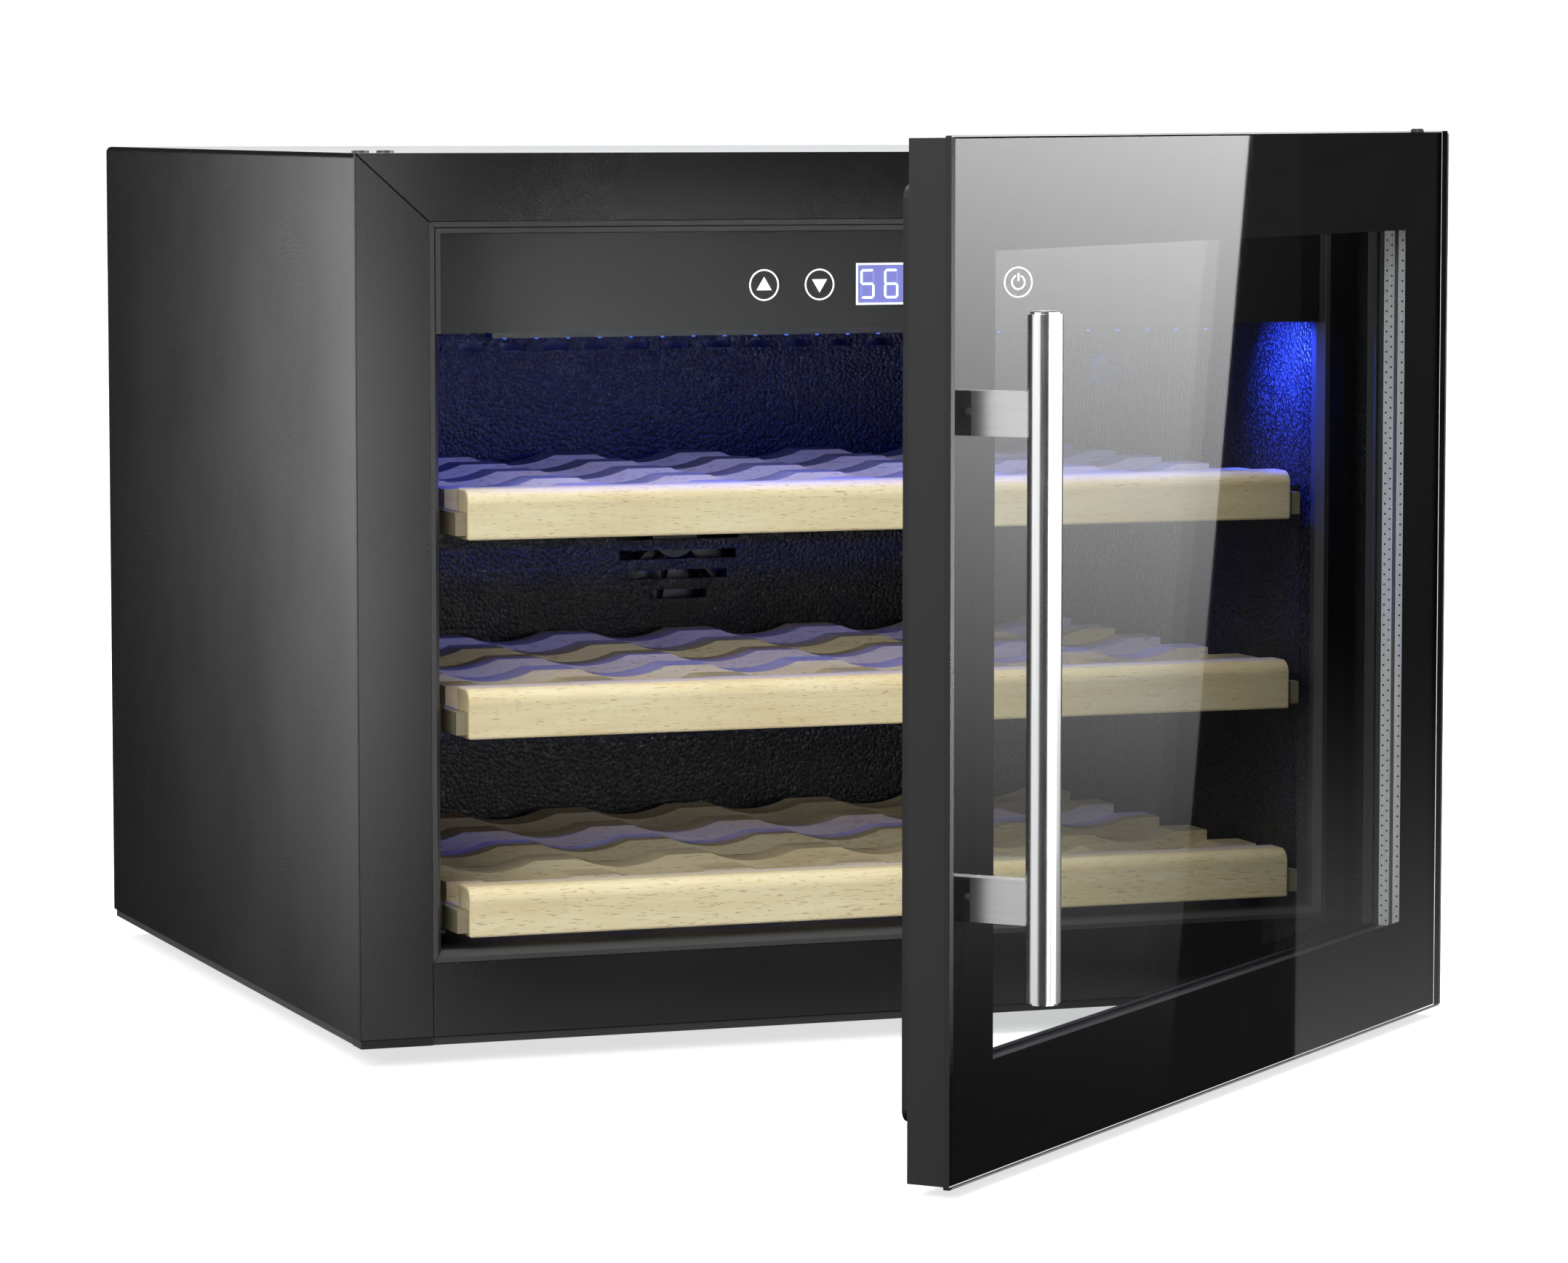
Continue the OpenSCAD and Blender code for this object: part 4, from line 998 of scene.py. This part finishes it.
class COOLER_OT_stage(bpy.types.Operator):
    """Floor, lights, the tall panel that the door mirrors, room light and camera"""

    bl_idname = "cooler.stage"
    bl_label = "Studio"
    bl_options = {"REGISTER"}

    def execute(self, context):
        look = studio()
        self.lay_floor(look)
        self.set_lights(look)
        self.set_panels(look)
        self.set_room(look)
        self.set_camera(context, look)
        return {"FINISHED"}

    def lay_floor(self, look):
        shape = bmesh.new()
        bmesh.ops.create_grid(shape, x_segments=8, y_segments=8, size=14.0)
        floor = self.stage_piece("studio_floor", shape, self.floor_finish(look))
        floor.visible_glossy = False
        floor.visible_diffuse = False

    def floor_finish(self, look):
        recipe = Recipe("pale_floor")
        soft = recipe.noise(3, 2.0)
        near_edge, far_edge = 1.0, 3.0
        reach = recipe.add(
            "ShaderNodeVectorMath", {"operation": "LENGTH"}, {0: recipe.where()}, output="Value"
        )
        ends = {0: reach, 1: near_edge, 2: far_edge, 3: 0.0, 4: 1.0}
        far = recipe.add("ShaderNodeMapRange", {"clamp": True}, ends)
        near = (look.floor_glow,) * 3
        recipe.surface(
            Base_Color=recipe.blend(soft, (0.80, 0.80, 0.80), (0.84, 0.84, 0.84)),
            Roughness=0.9,
            Specular_IOR_Level=0.0,
            Emission_Color=recipe.blend(far, near, (1, 1, 1)),
            Emission_Strength=1.0,
        )
        return recipe.material

    def stage_piece(self, name, shape, material):
        mesh = bpy.data.meshes.new(name)
        shape.to_mesh(mesh)
        shape.free()
        mesh.materials.append(material)
        piece = bpy.data.objects.new(name, mesh)
        bpy.context.scene.collection.objects.link(piece)
        return piece

    def add_light(self, name, place, aim, size, power, tint=(1, 1, 1), tall=None, spread=180):
        lamp = bpy.data.lights.new(name, "AREA")
        lamp.shape = "RECTANGLE"
        lamp.size = size
        lamp.size_y = tall or size
        lamp.energy = power
        lamp.color = tint
        lamp.spread = math.radians(spread)
        holder = bpy.data.objects.new(name, lamp)
        bpy.context.scene.collection.objects.link(holder)
        holder.location = place
        holder.rotation_euler = (Vector(aim) - Vector(place)).to_track_quat("-Z", "Y").to_euler()
        return holder

    def set_lights(self, look):
        self.add_light("front_softbox", (-2.2, -3.0, 2.0), (0.0, 0.0, 0.2), 1.8, look.key)
        self.add_light("top_softbox", (0.1, 0.1, 3.0), (0.0, 0.1, 0.0), 2.6, look.over)
        strip_low, strip_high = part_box("led_strip")
        y = (strip_low[1] + strip_high[1]) / 2
        under = strip_low[2] - 2 * MM
        width = strip_high[0] - strip_low[0]
        tint = colours().glow
        aim = (0, y + 0.05, under - 0.1)
        self.add_light("cabinet_glow", (0, y, under), aim, width, look.glow_power, tint, 10 * MM)
        walls = ((-1, "left_wall_glow", 0.09, 60), (1, "right_wall_glow", 0.0, 95))
        for side, name, depth, spread in walls:
            start = (side * (width / 2 - 0.01), y + 0.01, under)
            aim = (side * 0.24, y + depth, under - 0.03)
            self.add_light(name, start, aim, 0.012, look.wall_glow, tint, spread=spread)

    def set_panels(self, look):
        """Soft panels that only the glossy surfaces see. Each fades along one or two directions."""
        right, low, high = 3.2, -1.1, 1.2
        slant = ((-5.0, low), (self.slanted(low), low), (self.slanted(high), high), (-5.0, high))
        tall = [(right, y, z) for y, z in slant]
        self.panel("tall_panel", tall, look.tall_panel, [(2, -0.62, 0.80, 2.4)])
        beside = ((0.97, low), (1.7, low), (1.7, high), (0.97, high))
        short = [(right, y, z) for y, z in beside]
        self.panel("low_panel", short, look.low_panel, [(2, -0.05, -0.75, 2.0)])
        left = ((-2.4, -1.0), (2.3, -1.0), (2.3, 2.4), (-2.4, 2.4))
        self.panel("left_panel", [(-3.0, y, z) for y, z in left], look.left_panel, [(2, -1.5, 0.3, 1.0)])
        front = self.upright(((0.1, -3.0), (1.35, -3.0)), -0.5, 0.8)
        fades = [(2, -0.40, 0.0, 1.0), (2, 0.62, 0.12, 1.0), (0, 1.3, 0.5, 1.3)]
        self.panel("front_panel", front, look.front_panel, fades)
        handle = self.upright(((1.4, -3.3), (3.1, -1.8)), -0.75, 0.7)
        self.panel("handle_panel", handle, look.handle_panel, [(2, -1.2, -0.6, 1.0)])
        side = self.upright(((-1.3, 0.95), (-0.64, 0.95)), -0.3, 0.62)
        self.panel("side_panel_light", side, look.side_panel, [(2, -0.25, 0.24, 1.3)])

    def slanted(self, z):
        """The tall panel's far edge leans, which gives its mirror image a slanted end."""
        return 0.913 + (z - 0.46) * 0.083

    def upright(self, ends, low, high):
        (x0, y0), (x1, y1) = ends
        return [(x0, y0, low), (x1, y1, low), (x1, y1, high), (x0, y0, high)]

    def panel(self, name, outline, strength, fades):
        shape = bmesh.new()
        shape.faces.new([shape.verts.new(corner) for corner in outline])
        recipe = Recipe(name + "_glow")
        share = 1.0
        for axis, dark, bright, power in fades:
            ends = {0: recipe.along(axis), 1: dark, 2: bright, 3: 0.0, 4: 1.0}
            share = recipe.add("ShaderNodeMapRange", {"clamp": True}, ends) ** power * share
        recipe.surface(
            Base_Color=(0, 0, 0),
            Specular_IOR_Level=0.0,
            Emission_Color=recipe.blend(share, (0.002, 0.002, 0.002), (1, 1, 1)),
            Emission_Strength=strength,
        )
        card = self.stage_piece(name, shape, recipe.material)
        card.visible_camera = False
        card.visible_diffuse = False
        card.visible_shadow = False

    def set_room(self, look):
        world = bpy.data.worlds.new("studio_room")
        bpy.context.scene.world = world
        recipe = Recipe("room", world)
        path = recipe.add("ShaderNodeLightPath").socket.node
        seen = Signal(recipe, path.outputs["Is Camera Ray"])
        mirrored = Signal(recipe, path.outputs["Is Glossy Ray"])
        even = look.room * (1 - mirrored) + look.room_gloss * mirrored
        level = seen * 1.02 + (1 - seen) * even
        back = recipe.tree.nodes["Background"]
        back.inputs["Color"].default_value = (1, 1, 1, 1)
        recipe.feed(back.inputs["Strength"], level)

    def set_camera(self, context, look):
        lens = bpy.data.cameras.new("camera")
        lens.lens = look.lens
        lens.sensor_width = 36.0
        lens.sensor_fit = "HORIZONTAL"
        lens.clip_end = 60.0
        eye = bpy.data.objects.new("camera", lens)
        bpy.context.scene.collection.objects.link(eye)
        eye.location = look.eye
        eye.rotation_euler = (math.pi / 2 - look.dip, 0.0, -look.heading)
        context.scene.camera = eye
        context.scene.view_settings.view_transform = "Standard"


PIECES = (
    COOLER_OT_finishes,
    COOLER_OT_soft_edges,
    COOLER_OT_spacer_holes,
    COOLER_OT_sealant,
    COOLER_OT_gasket_lips,
    COOLER_OT_glass_edge,
    COOLER_OT_hinge_caps,
    COOLER_OT_trim_lines,
    COOLER_OT_handle_ends,
    COOLER_OT_lamps,
    COOLER_OT_faint_segments,
    COOLER_OT_fan_guard,
    COOLER_OT_fins,
    COOLER_OT_stage,
)
GROUPS = (CoolerSizes, CoolerColours, CoolerStudio)
HOLDERS = ("cooler_sizes", "cooler_colours", "cooler_studio")


class COOLER_PT_panel(bpy.types.Panel):
    """Lists the cooler's sizes, colours and pieces"""

    bl_idname = "COOLER_PT_panel"
    bl_label = "Wine cooler"
    bl_space_type = "VIEW_3D"
    bl_region_type = "UI"
    bl_category = "Cooler"

    def draw(self, context):
        for holder, group in zip(HOLDERS, GROUPS):
            box = self.layout.box()
            for name in group.__annotations__:
                box.prop(getattr(context.scene, holder), name)
        for piece in PIECES:
            self.layout.operator(piece.bl_idname)


def register():
    for cls in (*GROUPS, *PIECES, COOLER_PT_panel):
        bpy.utils.register_class(cls)
    for holder, group in zip(HOLDERS, GROUPS):
        setattr(bpy.types.Scene, holder, PointerProperty(type=group))


def unregister():
    for holder in HOLDERS:
        delattr(bpy.types.Scene, holder)
    for cls in reversed((*GROUPS, *PIECES, COOLER_PT_panel)):
        bpy.utils.unregister_class(cls)


def main():
    register()
    for piece in PIECES:
        group, name = piece.bl_idname.split(".")
        getattr(getattr(bpy.ops, group), name)()


if __name__ == "__main__":
    main()
